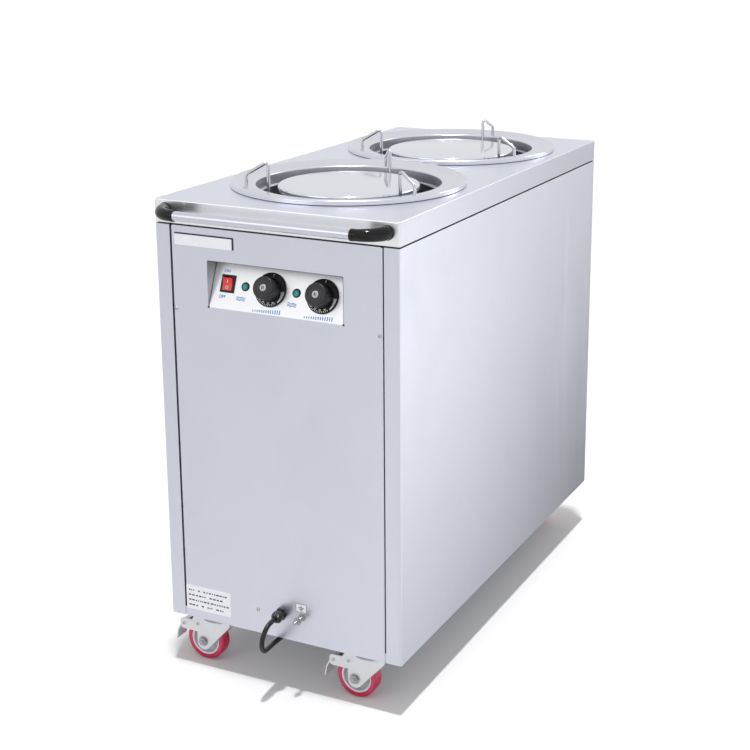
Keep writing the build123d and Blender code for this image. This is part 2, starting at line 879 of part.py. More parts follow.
def make_caster_plate(x, y):
    """Top plate with bolt holes, race cup and the riveted kingpin."""
    with BuildPart() as plate:
        with BuildSketch(Plane.XY.offset(pan_bottom)):
            with Locations((x, y)):
                RectangleRounded(plate_length, plate_width, plate_corner)
                with GridLocations(bolt_spacing_x, bolt_spacing_y, 2, 2):
                    Circle(bolt_radius, mode=Mode.SUBTRACT)
        extrude(amount=-plate_sheet)
        with BuildSketch(Plane.XY.offset(pan_bottom - plate_sheet)):
            with Locations((x, y)):
                Circle(race_radius + 3)
        extrude(amount=crown_height + loose_fit - pan_bottom + plate_sheet, taper=18)
        with BuildSketch(Plane.XY.offset(pan_bottom - plate_sheet)):
            with Locations((x, y)):
                Circle(kingpin_radius)
        extrude(amount=kingpin_bottom - pan_bottom + plate_sheet)
        with BuildSketch(Plane.XY.offset(kingpin_bottom)):
            with Locations((x, y)):
                Circle(kingpin_head)
        extrude(amount=-kingpin_head_height)
    return plate.part


def make_fork(x, y, braked):
    """Fork trailing towards -X with its axle bolt; a braked one has long arms and their rivets."""
    axle = (x - caster_trail, wheel_radius)
    crown_rise = crown_height - wheel_radius
    crown_end = caster_trail + crown_radius
    arm = ((-49, 36), (-49, 16), (-leg_end_radius, 16)) if braked else ()
    leg = ((-leg_end_radius, -leg_end_drop), (10, -12.5), (crown_end, 38), (crown_end, crown_rise))
    neck = ((-18, crown_rise), (-24, 36)) if braked else ((-16, crown_rise),)
    fork_plane = Plane(origin=(axle[0], y, axle[1]), x_dir=(1, 0, 0), z_dir=(0, -1, 0))
    half = fork_gap / 2 + fork_sheet
    with BuildPart() as fork:
        with BuildSketch(fork_plane) as outline:
            with BuildLine():
                Polyline(*arm, *leg, *neck, close=True)
            make_face()
            with Locations((0, -leg_end_drop)):
                Circle(leg_end_radius)
            if braked:
                fillet(outline.vertices().group_by(Axis.X)[0], 7)
        extrude(amount=half, both=True)
        with BuildSketch(Plane.XY.offset(crown_height)):
            with Locations((x, y)):
                Circle(crown_radius)
        extrude(amount=-crown_sheet)
        with BuildSketch(Plane.XY.offset(crown_height - crown_sheet)):
            with Locations((axle[0], y)):
                Rectangle(6 * crown_radius, fork_gap)
        extrude(amount=-crown_height, mode=Mode.SUBTRACT)
        with BuildSketch(Plane.XY.offset(crown_height)):
            with Locations((x, y)):
                Circle(kingpin_radius + running_fit)
        extrude(amount=-crown_sheet, mode=Mode.SUBTRACT)
        with BuildSketch(fork_plane):
            Circle(axle_radius)
        extrude(amount=half + axle_nut_height + 1.5, both=True)
        for face in (half, -half - axle_nut_height):
            with BuildSketch(fork_plane.offset(face)):
                RegularPolygon(axle_nut, 6)
            extrude(amount=axle_nut_height)
        if braked:
            with BuildSketch(fork_plane):
                with Locations((pedal_x, pedal_z)):
                    Circle(pedal_pin)
            extrude(amount=half + rivet_height, both=True)
            for face in (half, -half - rivet_height):
                with BuildSketch(fork_plane.offset(face)):
                    with Locations((pedal_x, pedal_z), (rivet_x, rivet_z)):
                        Circle(rivet_radius)
                extrude(amount=rivet_height)
    return fork.part


def spun_wheel_part(x, y, points):
    """Part of a wheel, spun round the axle from a closed section of (width, radius) points."""
    centre = (x - caster_trail, y, wheel_radius)
    section_plane = Plane(origin=centre, x_dir=(0, 1, 0), z_dir=(1, 0, 0))
    with BuildPart() as spun:
        with BuildSketch(section_plane):
            with BuildLine():
                Polyline(*points, close=True)
            make_face()
        revolve(axis=Axis(centre, (0, 1, 0)))
    return spun.part


def make_hub(x, y):
    """Wheel hub: rim, thin web and a boss that nearly fills the fork."""
    rim_inner = wheel_radius - tread_depth - hub_rim
    rim_outer = wheel_radius - tread_depth
    rim_half = wheel_width / 2 - 1.0
    boss_half = fork_gap / 2 - loose_fit
    bore = axle_radius + running_fit
    half_section = (
        (boss_half, bore),
        (boss_half, hub_boss),
        (hub_web / 2, hub_boss + 2),
        (hub_web / 2, rim_inner - 2),
        (rim_half, rim_inner),
        (rim_half, rim_outer),
    )
    mirrored = tuple((-width, radius) for width, radius in reversed(half_section))
    return spun_wheel_part(x, y, half_section + mirrored)


def make_tread(x, y):
    """Tyre of the wheel with bevelled shoulders."""
    inner = wheel_radius - tread_depth
    half = wheel_width / 2
    points = (
        (half, inner),
        (half, wheel_radius - tread_chamfer),
        (half - tread_chamfer, wheel_radius),
        (tread_chamfer - half, wheel_radius),
        (-half, wheel_radius - tread_chamfer),
        (-half, inner),
    )
    return spun_wheel_part(x, y, points)


def make_pedal(x, y):
    """Brake pedal: bent tread plate, pivot boss and the cam that faces the tyre."""
    plane = Plane(origin=(x - caster_trail, y, wheel_radius), x_dir=(1, 0, 0), z_dir=(0, -1, 0))
    pivot = Vector(pedal_x, pedal_z)
    reach = pivot.length - wheel_radius - 2.0
    towards_axle = Vector(0, 0) - pivot
    cam_angle = -Vector(1, 0).get_angle(towards_axle)
    cam_middle = pivot + towards_axle.normalized() * (reach / 2)
    half = fork_gap / 2 - 2 * loose_fit
    with BuildPart() as pedal:
        with BuildSketch(plane):
            with BuildLine():
                top = FilletPolyline((-35, 33), (-45.5, 33), (-58, 8), (-61, -9), radius=(4, 14))
                offset(top, amount=pedal_sheet, side=Side.LEFT)
            make_face()
            with Locations((pedal_x, pedal_z)):
                Circle(pedal_boss)
            with Locations(Location((cam_middle.X, cam_middle.Y, 0), (0, 0, cam_angle))):
                Rectangle(reach, pedal_boss)
            with Locations((pedal_x, pedal_z)):
                Circle(pedal_pin + running_fit, mode=Mode.SUBTRACT)
        extrude(amount=half, both=True)
    return pedal.part


# ---------------------------------------------------------------- gland, earth stud, fixings


def make_gland():
    """Cable gland: body threaded through the panel with its locknut, and the clamping nut."""
    place = (gland_x, base_height + gland_height)
    with BuildPart() as body:
        with BuildSketch(front_plane):
            with Locations(place):
                RegularPolygon(gland_radius + 1.2, 6)
        extrude(amount=gland_body_length / 2)
        with BuildSketch(front_plane):
            with Locations(place):
                Circle(gland_radius - 1.5)
        extrude(amount=gland_body_length)
        with BuildSketch(front_plane):
            with Locations(place):
                Circle(gland_thread)
        extrude(amount=-gland_body_length)
        with BuildSketch(front_plane.offset(-sheet)):
            with Locations(place):
                RegularPolygon(gland_radius + 1.2, 6)
                Circle(gland_thread, mode=Mode.SUBTRACT)
        extrude(amount=-gland_body_length / 2)
    dome = gland_reach - gland_body_length
    with BuildPart() as nut:
        with BuildSketch(front_plane.offset(gland_body_length)):
            with Locations(place):
                RegularPolygon(gland_radius + 0.6, 6)
        extrude(amount=dome * 0.6)
        with BuildSketch(front_plane.offset(gland_body_length + dome * 0.6)):
            with Locations(place):
                Circle(gland_radius - 0.8)
        extrude(amount=dome * 0.4, taper=25)
    return Compound(children=[body.part, nut.part])


def make_earth_stud():
    """Earth stud with an inner head, two washers and two nuts."""
    place = (earth_x, base_height + earth_height)
    with BuildPart() as stud:
        with BuildSketch(front_plane.offset(-sheet)):
            with Locations(place):
                RegularPolygon(2 * earth_radius, 6)
        extrude(amount=-4)
        with BuildSketch(front_plane.offset(-sheet)):
            with Locations(place):
                Circle(earth_radius)
        extrude(amount=earth_reach + sheet)
        for start, radius, height in ((0, 7.0, 1.5), (15.5, 7.0, 1.5)):
            with BuildSketch(front_plane.offset(start)):
                with Locations(place):
                    Circle(radius)
            extrude(amount=height)
        for start in (1.5, 17.0):
            with BuildSketch(front_plane.offset(start)):
                with Locations(place):
                    RegularPolygon(2 * earth_radius - 0.2, 6)
            extrude(amount=5)
    return stud.part


def make_terminal_block():
    """Terminal block on the base pan with a row of screw wells."""
    length, width, height = block_size
    with BuildPart() as block:
        with BuildSketch(Plane.XY.offset(pan_floor)):
            with Locations((block_place[0], front_y + block_place[1])):
                RectangleRounded(length, width, 2)
        extrude(amount=height)
        with BuildSketch(Plane.XY.offset(pan_floor + height)):
            with Locations((block_place[0], front_y + block_place[1])):
                with GridLocations(length / 4, width / 2, 4, 2):
                    Rectangle(length / 6, width / 3)
        extrude(amount=-height / 3, mode=Mode.SUBTRACT)
    return block.part


def make_screw(plane, place, radius, head_radius, length):
    """Pan-head screw driven in against a plane's face."""
    with BuildPart() as screw:
        with BuildSketch(plane):
            with Locations(place):
                Circle(head_radius)
        extrude(amount=0.9 * radius)
        with BuildSketch(plane):
            with Locations(place):
                Circle(radius)
        extrude(amount=-length)
    return screw.part


def make_screws():
    """Screws of the front and back panels, and those that hold the handle from inside."""
    length = return_depth + 2 * sheet
    screws = [
        make_screw(plane, (x, panel_screw_z), screw_radius, screw_head, length)
        for plane in (front_plane, back_plane)
        for x in (-panel_screw_x, panel_screw_x)
    ]
    low_place = (low_screw_x, base_height + low_screw_height)
    screws.append(make_screw(front_plane, low_place, screw_radius, screw_head, 3 * sheet))
    seat = Plane(origin=(0, front_y + joggle + sheet, 0), x_dir=(-1, 0, 0), z_dir=(0, 1, 0))
    screws += [
        make_screw(seat, (x, handle_z), handle_screw_radius, handle_screw_head, joggle + sheet + bar_socket)
        for x in (-bracket_x, bracket_x)
    ]
    return Compound(children=screws)


def make_caster_bolts():
    """Bolts through the base pan and the caster plates, each with its nut below."""
    bolts = []
    for x, y in caster_centres.values():
        for place in GridLocations(bolt_spacing_x, bolt_spacing_y, 2, 2):
            spot = (x + place.position.X, y + place.position.Y)
            with BuildPart() as bolt:
                with BuildSketch(Plane.XY.offset(pan_floor)):
                    with Locations(spot):
                        RegularPolygon(bolt_head, 6)
                extrude(amount=bolt_head_height)
                with BuildSketch(Plane.XY.offset(pan_floor)):
                    with Locations(spot):
                        Circle(bolt_radius)
                extrude(amount=plate_bottom - pan_floor - bolt_head_height - 1.5)
                with BuildSketch(Plane.XY.offset(plate_bottom)):
                    with Locations(spot):
                        RegularPolygon(bolt_head, 6)
                extrude(amount=-bolt_head_height)
            bolts.append(bolt.part)
    return Compound(children=bolts)


# ---------------------------------------------------------------- supply cord


def cord_radii(points):
    """Bend radius at each inner point, as large as its two runs allow."""
    radii = []
    for before, corner, after in zip(points, points[1:], points[2:]):
        run_in = Vector(*corner) - Vector(*before)
        run_out = Vector(*after) - Vector(*corner)
        shorter = min(run_in.length, run_out.length)
        turn = radians(run_in.get_angle(run_out))
        radii.append(0.45 * shorter / tan(turn / 2))
    return radii


def make_cord():
    """Free cord from the gland to the coil: straight runs with tangent arcs."""
    radii = cord_radii(cord_points)
    print("cord radii", [round(radius) for radius in radii])
    with BuildPart() as cord:
        with BuildLine() as route:
            FilletPolyline(*cord_points, radius=radii)
        with BuildSketch(Plane(origin=route.line @ 0, z_dir=route.line % 0)):
            Circle(cord_radius)
        sweep()
    length = sum(edge.length for edge in route.edges())
    print("cord length", round(length))
    print("cord volume ratio", round(cord.part.volume / (pi * cord_radius**2 * length), 4))
    return cord.part


def make_coil():
    """Outer shape of the coiled length, its turns stacked on the floor, with the tail to the plug."""
    y = front_y + coil_setback
    stack = 2 * cord_radius * coil_layers
    side = coil_x + coil_radius
    top = stack - cord_radius
    tail_points = (
        (side, y - 2 * cord_radius, top),
        (side, y - 0.4 * coil_tail, top),
        (side, y - 0.75 * coil_tail, plug_start[2]),
        plug_start,
    )
    with BuildPart() as coil:
        with BuildSketch(Plane.XY.offset(loose_fit)):
            with Locations((coil_x, y)):
                Circle(coil_radius + cord_radius)
                Circle(coil_radius - cord_radius, mode=Mode.SUBTRACT)
        extrude(amount=stack)
        chamfer(coil.edges().filter_by(GeomType.CIRCLE), 2.0)
        with BuildLine() as tail:
            FilletPolyline(*tail_points, radius=8 * cord_radius)
        with BuildSketch(Plane(origin=tail.line @ 0, z_dir=tail.line % 0)):
            Circle(cord_radius)
        sweep()
    return coil.part


def make_plug():
    """Plug on its side beside the coil: tapered body with two round pins."""
    start = Plane(origin=plug_start, x_dir=(1, 0, 0), z_dir=(0, -1, 0))
    with BuildPart() as plug:
        with BuildSketch(start):
            Circle(plug_radius * 0.6)
        with BuildSketch(start.offset(plug_length / 2)):
            Circle(plug_radius)
        loft()
        with BuildSketch(start.offset(plug_length / 2)):
            Circle(plug_radius)
        extrude(amount=plug_length / 2)
        with BuildSketch(start.offset(plug_length)):
            with GridLocations(plug_pin_spacing, 0, 2, 1):
                Circle(plug_pin_radius)
        extrude(amount=plug_pin_length)
    return plug.part


# ---------------------------------------------------------------- assembly

save(make_table_top(), "table_top")
right_side = make_side_panel()
save(right_side, "side_panel_right")
save(right_side.mirror(Plane.YZ), "side_panel_left")
blank_panel = make_blank_panel()
save(make_front_panel(blank_panel), "front_panel")
save(blank_panel.mirror(Plane.XZ.offset(-middle_y)), "back_panel")
save(make_base_pan(), "base_pan")

save(make_control_plate(), "control_plate")
save(make_switch_housing(), "switch_housing")
save(make_rocker(), "switch_rocker")
for place, x in lamp_places.items():
    save(make_signal_lamp(x), f"signal_lamp_{place}")
for place, x in knob_places.items():
    save(make_thermostat(x), f"thermostat_{place}")
    save(make_knob(x), f"heat_knob_{place}")

save(make_handle_bar(), "handle_bar")
right_bracket = make_bracket()
save(right_bracket, "handle_bracket_right")
save(right_bracket.mirror(Plane.YZ), "handle_bracket_left")

for well, y in well_y.items():
    save(make_well_ring(y), f"well_ring_{well}")
    save(make_barrel(y), f"well_barrel_{well}")
    save(make_platform(y), f"platform_{well}")
    save(make_carrier(y), f"platform_carrier_{well}")
    save(make_spring(y), f"lift_spring_{well}")
    save(make_element(y), f"heating_element_{well}")
    for rod, angle in rod_angles.items():
        save(make_guide_rod(y, angle, rod_swings[well][rod]), f"guide_rod_{well}_{rod}")

for corner, (x, y) in caster_centres.items():
    braked = corner.startswith("front")
    save(make_caster_plate(x, y), f"caster_plate_{corner}")
    save(make_fork(x, y, braked), f"caster_fork_{corner}")
    if braked:
        save(make_hub(x, y), f"wheel_hub_{corner}")
        save(make_tread(x, y), f"wheel_tread_{corner}")
        save(make_pedal(x, y), f"brake_pedal_{corner}")
    else:
        save(Compound(children=[make_hub(x, y), make_tread(x, y)]), f"wheel_{corner}")

save(make_gland(), "cable_gland")
save(make_earth_stud(), "earth_stud")
save(make_terminal_block(), "terminal_block")
save(make_screws(), "fixing_screws")
save(make_caster_bolts(), "caster_bolts")
save(make_cord(), "supply_cord")
save(make_coil(), "cord_coil")
save(make_plug(), "plug")
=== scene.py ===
import math
import random

import bmesh
import bpy
from mathutils import Matrix, Vector
from mathutils.bvhtree import BVHTree


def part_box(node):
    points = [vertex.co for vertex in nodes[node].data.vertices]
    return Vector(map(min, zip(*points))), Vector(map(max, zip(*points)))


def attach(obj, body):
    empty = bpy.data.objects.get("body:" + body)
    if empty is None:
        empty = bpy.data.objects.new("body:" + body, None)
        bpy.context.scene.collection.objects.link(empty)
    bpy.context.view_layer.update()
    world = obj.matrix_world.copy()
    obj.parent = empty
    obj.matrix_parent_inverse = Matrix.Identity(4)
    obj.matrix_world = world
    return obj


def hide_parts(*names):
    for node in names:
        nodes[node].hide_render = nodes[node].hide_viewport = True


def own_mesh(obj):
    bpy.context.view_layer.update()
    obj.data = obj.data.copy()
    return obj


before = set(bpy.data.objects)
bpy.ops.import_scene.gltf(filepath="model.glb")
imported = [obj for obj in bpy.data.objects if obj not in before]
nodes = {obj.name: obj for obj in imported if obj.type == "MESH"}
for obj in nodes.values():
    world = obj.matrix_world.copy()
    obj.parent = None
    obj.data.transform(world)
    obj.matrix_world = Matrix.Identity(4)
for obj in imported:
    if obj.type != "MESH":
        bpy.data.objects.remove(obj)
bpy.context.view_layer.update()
mm = 0.001
inMillimetres = Matrix.Scale(mm, 4)
rightWay, upWay, outWay = Vector((1, 0, 0)), Vector((0, 0, 1)), Vector((0, -1, 0))
print("frame loaded:", len(nodes), "nodes")

# places read from the frame
tableLow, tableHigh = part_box("table_top")
frontY, backY, tableTop = tableLow.y, tableHigh.y, tableHigh.z
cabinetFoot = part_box("side_panel_left")[0].z
wellNames = ("front", "rear")
casterNames = ("front_left", "front_right", "rear_left", "rear_right")


def middleOf(node):
    low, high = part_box(node)
    return (low + high) / 2


def wellCentre(well):
    return middleOf(f"well_ring_{well}")


def wellPlace(well):
    centre = wellCentre(well)
    return Matrix.Translation((centre.x, centre.y, 0))


def addObject(name, data):
    item = bpy.data.objects.new(name, data)
    bpy.context.scene.collection.objects.link(item)
    return item


def rectangle(left, right, low, high):
    return [(left, low), (right, low), (right, high), (left, high)]


# small helpers for shader and geometry node trees


def addNode(tree, kind, inputs=(), **settings):
    node = tree.nodes.new(kind)
    for name, value in settings.items():
        setattr(node, name, value)
    for name, value in dict(inputs).items():
        if isinstance(value, bpy.types.NodeSocket):
            tree.links.new(value, node.inputs[name])
        else:
            node.inputs[name].default_value = value
    return node


def feed(tree, kind, inputs=(), **settings):
    # adds a node and gives its first output
    return addNode(tree, kind, inputs, **settings).outputs[0]


def calc(tree, operation, *values, **settings):
    return feed(tree, "ShaderNodeMath", dict(enumerate(values)), operation=operation, **settings)


def remap(tree, value, limits, **settings):
    # limits are the lowest and highest value going in, then the two coming out
    sockets = ("From Min", "From Max", "To Min", "To Max")
    return feed(tree, "ShaderNodeMapRange", {"Value": value, **dict(zip(sockets, limits))}, **settings)


def blend(tree, factor, low, high):
    return feed(tree, "ShaderNodeMix", {"Factor": factor, "A": low, "B": high})


def noise(tree, place, scale, detail, roughness=0.5, distortion=0.0):
    values = {"Vector": place, "Scale": scale, "Detail": detail, "Roughness": roughness, "Distortion": distortion}
    return feed(tree, "ShaderNodeTexNoise", values)


def splitPlace(tree, place):
    return addNode(tree, "ShaderNodeSeparateXYZ", {0: place}).outputs


def objectPlace(tree):
    return tree.nodes.new("ShaderNodeTexCoord").outputs["Object"]


def startGroup(name, kind, inputs, outputs):
    tree = bpy.data.node_groups.new(name, kind)
    for label, socketType, value in inputs:
        socket = tree.interface.new_socket(label, in_out="INPUT", socket_type=socketType)
        if value is not None:
            socket.default_value = value
    for label, socketType in outputs:
        tree.interface.new_socket(label, in_out="OUTPUT", socket_type=socketType)
    return tree, tree.nodes.new("NodeGroupInput").outputs, tree.nodes.new("NodeGroupOutput").inputs


# camera, lights and floor; floorShine tells how the floor's mirror image on the sheets changes with place

shot = {
    "azimuth": 25.69, "elevation": 14.241, "distance": 2.24266, "aimX": 0.26176, "aimAboveFoot": 0.66396,
    "lens": 70.2366, "sensor": 36.0, "clipEnd": 60.0, "shiftX": -0.06, "shiftY": -0.126667,
}
studio = {
    "sunPower": 2.2, "sunSoftness": 3.0, "sunTilt": (-0.05, 0.07, -1.0), "sunHeight": 3.0, "skyDiffuse": 0.55,
    "skyGlossy": 0.80, "floorTone": 0.8, "floorLift": 0.06, "floorSize": 14.0, "white": (1, 1, 1, 1),
}
floorShine = {
    "across": (0.23, 1.9, 0.61, 1.66), "along": (-0.9, 0.1, 1.05, 0.32), "beyond": (-3.8, -1.7, 0.60, 1.0),
    "front": (-1.4, 0.1, 0.71, 0.86), "isSide": (0.1, 0.3, 0.0, 1.0), "slant": -2.07,
}
softBoxes = {
    "frontBox": {"place": (-1.2, -2.9, 1.95), "aim": (0.0, -0.4, 0.6), "size": 1.7, "power": 6.0},
    "sideBox": {"place": (1.5, 1.9, 1.9), "aim": (0.2, -0.3, 0.8), "size": 1.0, "power": 7.0},
}


def facing(way):
    return Vector(way).to_track_quat("-Z", "Y").to_euler()


def makeCamera():
    data = bpy.data.cameras.new("camera")
    camera = addObject("camera", data)
    azimuth, elevation = math.radians(shot["azimuth"]), math.radians(shot["elevation"])
    level = math.cos(elevation)
    back = Vector((math.sin(azimuth) * level, -math.cos(azimuth) * level, math.sin(elevation)))
    aim = Vector((shot["aimX"], frontY, cabinetFoot + shot["aimAboveFoot"]))
    camera.location = aim + back * shot["distance"]
    camera.rotation_euler = facing(-back)
    data.lens, data.sensor_width, data.clip_end = shot["lens"], shot["sensor"], shot["clipEnd"]
    data.shift_x, data.shift_y = shot["shiftX"], shot["shiftY"]
    bpy.context.scene.camera = camera


def makeStudio():
    sun = bpy.data.lights.new("overhead", "SUN")
    sun.energy, sun.angle = studio["sunPower"], math.radians(studio["sunSoftness"])
    lamp = addObject("overhead", sun)
    lamp.location = (0, 0, studio["sunHeight"])
    lamp.rotation_euler = facing(studio["sunTilt"])
    for name, box in softBoxes.items():
        light = bpy.data.lights.new(name, "AREA")
        light.shape, light.size, light.energy = "SQUARE", box["size"], box["power"]
        lamp = addObject(name, light)
        lamp.location = box["place"]
        lamp.visible_camera = False
        lamp.rotation_euler = facing(Vector(box["aim"]) - lamp.location)
    bpy.context.scene.view_settings.view_transform = "Standard"
    world = bpy.data.worlds.new("studio")
    bpy.context.scene.world = world
    world.use_nodes = True
    tree = world.node_tree
    path = tree.nodes.new("ShaderNodeLightPath").outputs
    sky = blend(tree, path["Is Glossy Ray"], studio["skyDiffuse"], studio["skyGlossy"])
    background = tree.nodes["Background"].inputs
    background["Color"].default_value = studio["white"]
    tree.links.new(blend(tree, path["Is Camera Ray"], sky, 1.0), background["Strength"])


def makeFloor():
    half, tone = studio["floorSize"], studio["floorTone"]
    mesh = bpy.data.meshes.new("floor")
    mesh.from_pydata([(x, y, 0) for x, y in rectangle(-half, half, -half, half)], [], [(0, 1, 2, 3)])
    floor = addObject("floor", mesh)
    paper = bpy.data.materials.new("studioPaper")
    paper.use_nodes = True
    tree = paper.node_tree
    tree.nodes.remove(tree.nodes["Principled BSDF"])
    path = tree.nodes.new("ShaderNodeLightPath").outputs
    spot = splitPlace(tree, objectPlace(tree))
    slant = calc(tree, "MULTIPLY_ADD", spot[0], floorShine["slant"], spot[1])
    side = calc(tree, "MULTIPLY", remap(tree, spot[0], floorShine["across"]), remap(tree, slant, floorShine["along"]))
    side = calc(tree, "MULTIPLY", side, remap(tree, slant, floorShine["beyond"]))
    front = remap(tree, spot[0], floorShine["front"])
    shine = blend(tree, remap(tree, spot[0], floorShine["isSide"]), front, side)
    tint = blend(tree, path["Is Glossy Ray"], tone, calc(tree, "MULTIPLY", shine, tone))
    lift = calc(tree, "MULTIPLY", path["Is Camera Ray"], studio["floorLift"])
    matte = feed(tree, "ShaderNodeBsdfDiffuse", {"Color": tint})
    glow = feed(tree, "ShaderNodeEmission", {"Color": studio["white"], "Strength": lift})
    both = feed(tree, "ShaderNodeAddShader", {0: matte, 1: glow})
    tree.links.new(both, tree.nodes["Material Output"].inputs["Surface"])
    mesh.materials.append(paper)


# shared surface effects, each a shader group

numberSocket, vectorSocket = "NodeSocketFloat", "NodeSocketVector"


def startEffect(name, sizes, outputs):
    inputs = [("Place", vectorSocket, None)]
    for label, value in sizes.items():
        inputs.append((label, vectorSocket if isinstance(value, tuple) else numberSocket, value))
    return startGroup(name, "ShaderNodeTree", inputs, [(label, numberSocket) for label in outputs])


def makeBrushedGrain():
    # fine lines left by the brushing belt; Stretch is small along the lines
    tree, given, result = startEffect("brushedGrain", {"Stretch": (900, 900, 9), "Depth": 1.0}, ("Height", "Streak"))
    stretched = feed(tree, "ShaderNodeVectorMath", {0: given["Place"], 1: given["Stretch"]}, operation="MULTIPLY")
    both = calc(tree, "ADD", noise(tree, stretched, 1.0, 3.0, 0.6), noise(tree, stretched, 0.13, 2.0))
    centred = calc(tree, "ADD", both, -1.0)
    tree.links.new(calc(tree, "MULTIPLY", centred, given["Depth"]), result["Height"])
    tree.links.new(centred, result["Streak"])
    return tree


def makeHandlingMarks():
    # soft blotches where hands and cloths have been
    tree, given, result = startEffect("handlingMarks", {"Size": 5.0, "Amount": 0.5}, ("Mask",))
    spread = remap(tree, noise(tree, given["Place"], given["Size"], 5.0, 0.55, 0.4), (0.42, 0.72, 0.0, 1.0))
    tree.links.new(calc(tree, "MULTIPLY", spread, given["Amount"]), result["Mask"])
    return tree


def makeMouldedSkin():
    # the faint orange-peel of a moulded surface
    tree, given, result = startEffect("mouldedSkin", {"Size": 900.0, "Depth": 0.3}, ("Height",))
    peel = noise(tree, given["Place"], given["Size"], 2.0)
    tree.links.new(calc(tree, "MULTIPLY", peel, given["Depth"]), result["Height"])
    return tree


def makeLowDust():
    # dulling that settles low down and in streaks
    tree, given, result = startEffect("lowDust", {"Top": 0.2, "Amount": 0.3}, ("Mask",))
    fade = remap(tree, splitPlace(tree, given["Place"])[2], (0.0, given["Top"], 1.0, 0.0))
    both = calc(tree, "MULTIPLY", fade, noise(tree, given["Place"], 40.0, 6.0))
    tree.links.new(calc(tree, "MULTIPLY", both, given["Amount"]), result["Mask"])
    return tree


effects = {
    "grain": makeBrushedGrain(), "marks": makeHandlingMarks(), "skin": makeMouldedSkin(), "dust": makeLowDust(),
}


def useEffect(tree, effect, inputs):
    return addNode(tree, "ShaderNodeGroup", inputs, node_tree=effects[effect]).outputs


# materials: one row each, its values named by metalParts or mouldingParts; a part left off takes its usual value

metalParts = ("colour", "second", "rough", "spread", "stretch", "depth", "marks", "dust")
metals = {
    "satinSheet": ((0.74, 0.762, 0.85), (0.67, 0.69, 0.775), 0.34, 0.10, (900, 900, 7), 0.10, 0.35, 0.10),
    "frontSheet": ((0.74, 0.762, 0.85), (0.67, 0.69, 0.775), 0.34, 0.10, (900, 900, 7), 0.10, 0.35, 0.10),
    "satinTop": ((0.80, 0.82, 0.92), (0.74, 0.76, 0.855), 0.30, 0.045, (900, 7, 900), 0.05, 0.3, 0.0),
    "brightRing": ((0.78, 0.795, 0.865), (0.64, 0.65, 0.70), 0.24, 0.05, (60, 60, 900), 0.03, 0.2, 0.0),
    # the ring's steel, darker, for its collar inside the well: painted shade
    "collarShadeSteel": ((0.60, 0.61, 0.65), (0.40, 0.41, 0.44), 0.3, 0.1, (40, 40, 900), 0.05, 0.4, 0.0),
    "wellWall": ((0.52, 0.53, 0.56), (0.38, 0.39, 0.42), 0.36, 0.12, (40, 40, 900), 0.10, 0.5, 0.0),
    "polishedDisc": ((0.85, 0.88, 0.955), (0.80, 0.825, 0.89), 0.10, 0.03, (300, 300, 300), 0.01, 0.25, 0.0),
    "controlPlate": ((0.80, 0.81, 0.84), (0.78, 0.79, 0.82), 0.36, 0.06, (9, 900, 900), 0.04, 0.1, 0.0),
    "brightRod": ((0.68, 0.69, 0.72), (0.50, 0.51, 0.54), 0.2, 0.05, (400, 400, 400), 0.02, 0.2, 0.0),
    "handleSteel": ((0.70, 0.712, 0.79), (0.74, 0.745, 0.78), 0.22, 0.06, (9, 900, 900), 0.05, 0.3, 0.0),
    "zincPlate": ((0.80, 0.81, 0.84), (0.76, 0.77, 0.80), 0.34, 0.10, (120, 120, 120), 0.05, 0.35, 0.25),
    "springSteel": ((0.50, 0.50, 0.52), (0.36, 0.36, 0.37), 0.33, 0.08, (200, 200, 200), 0.03, 0.5, 0.0),
    "burntSheath": ((0.30, 0.28, 0.27), (0.18, 0.15, 0.13), 0.5, 0.15, (60, 60, 60), 0.05, 0.9, 0.0),
    "fastenerSteel": ((0.58, 0.59, 0.62), (0.62, 0.63, 0.66), 0.26, 0.08, (500, 500, 500), 0.03, 0.4, 0.0),
    "bandSilver": ((0.88, 0.885, 0.90), (0.80, 0.805, 0.82), 0.35, 0.05, (300, 300, 300), 0.01, 0.1, 0.0),
    "studSteel": ((0.44, 0.44, 0.46), (0.50, 0.50, 0.51), 0.28, 0.08, (500, 500, 500), 0.03, 0.4, 0.0),
}
mouldingParts = ("colour", "second", "rough", "spread", "size", "depth", "coat", "specular")
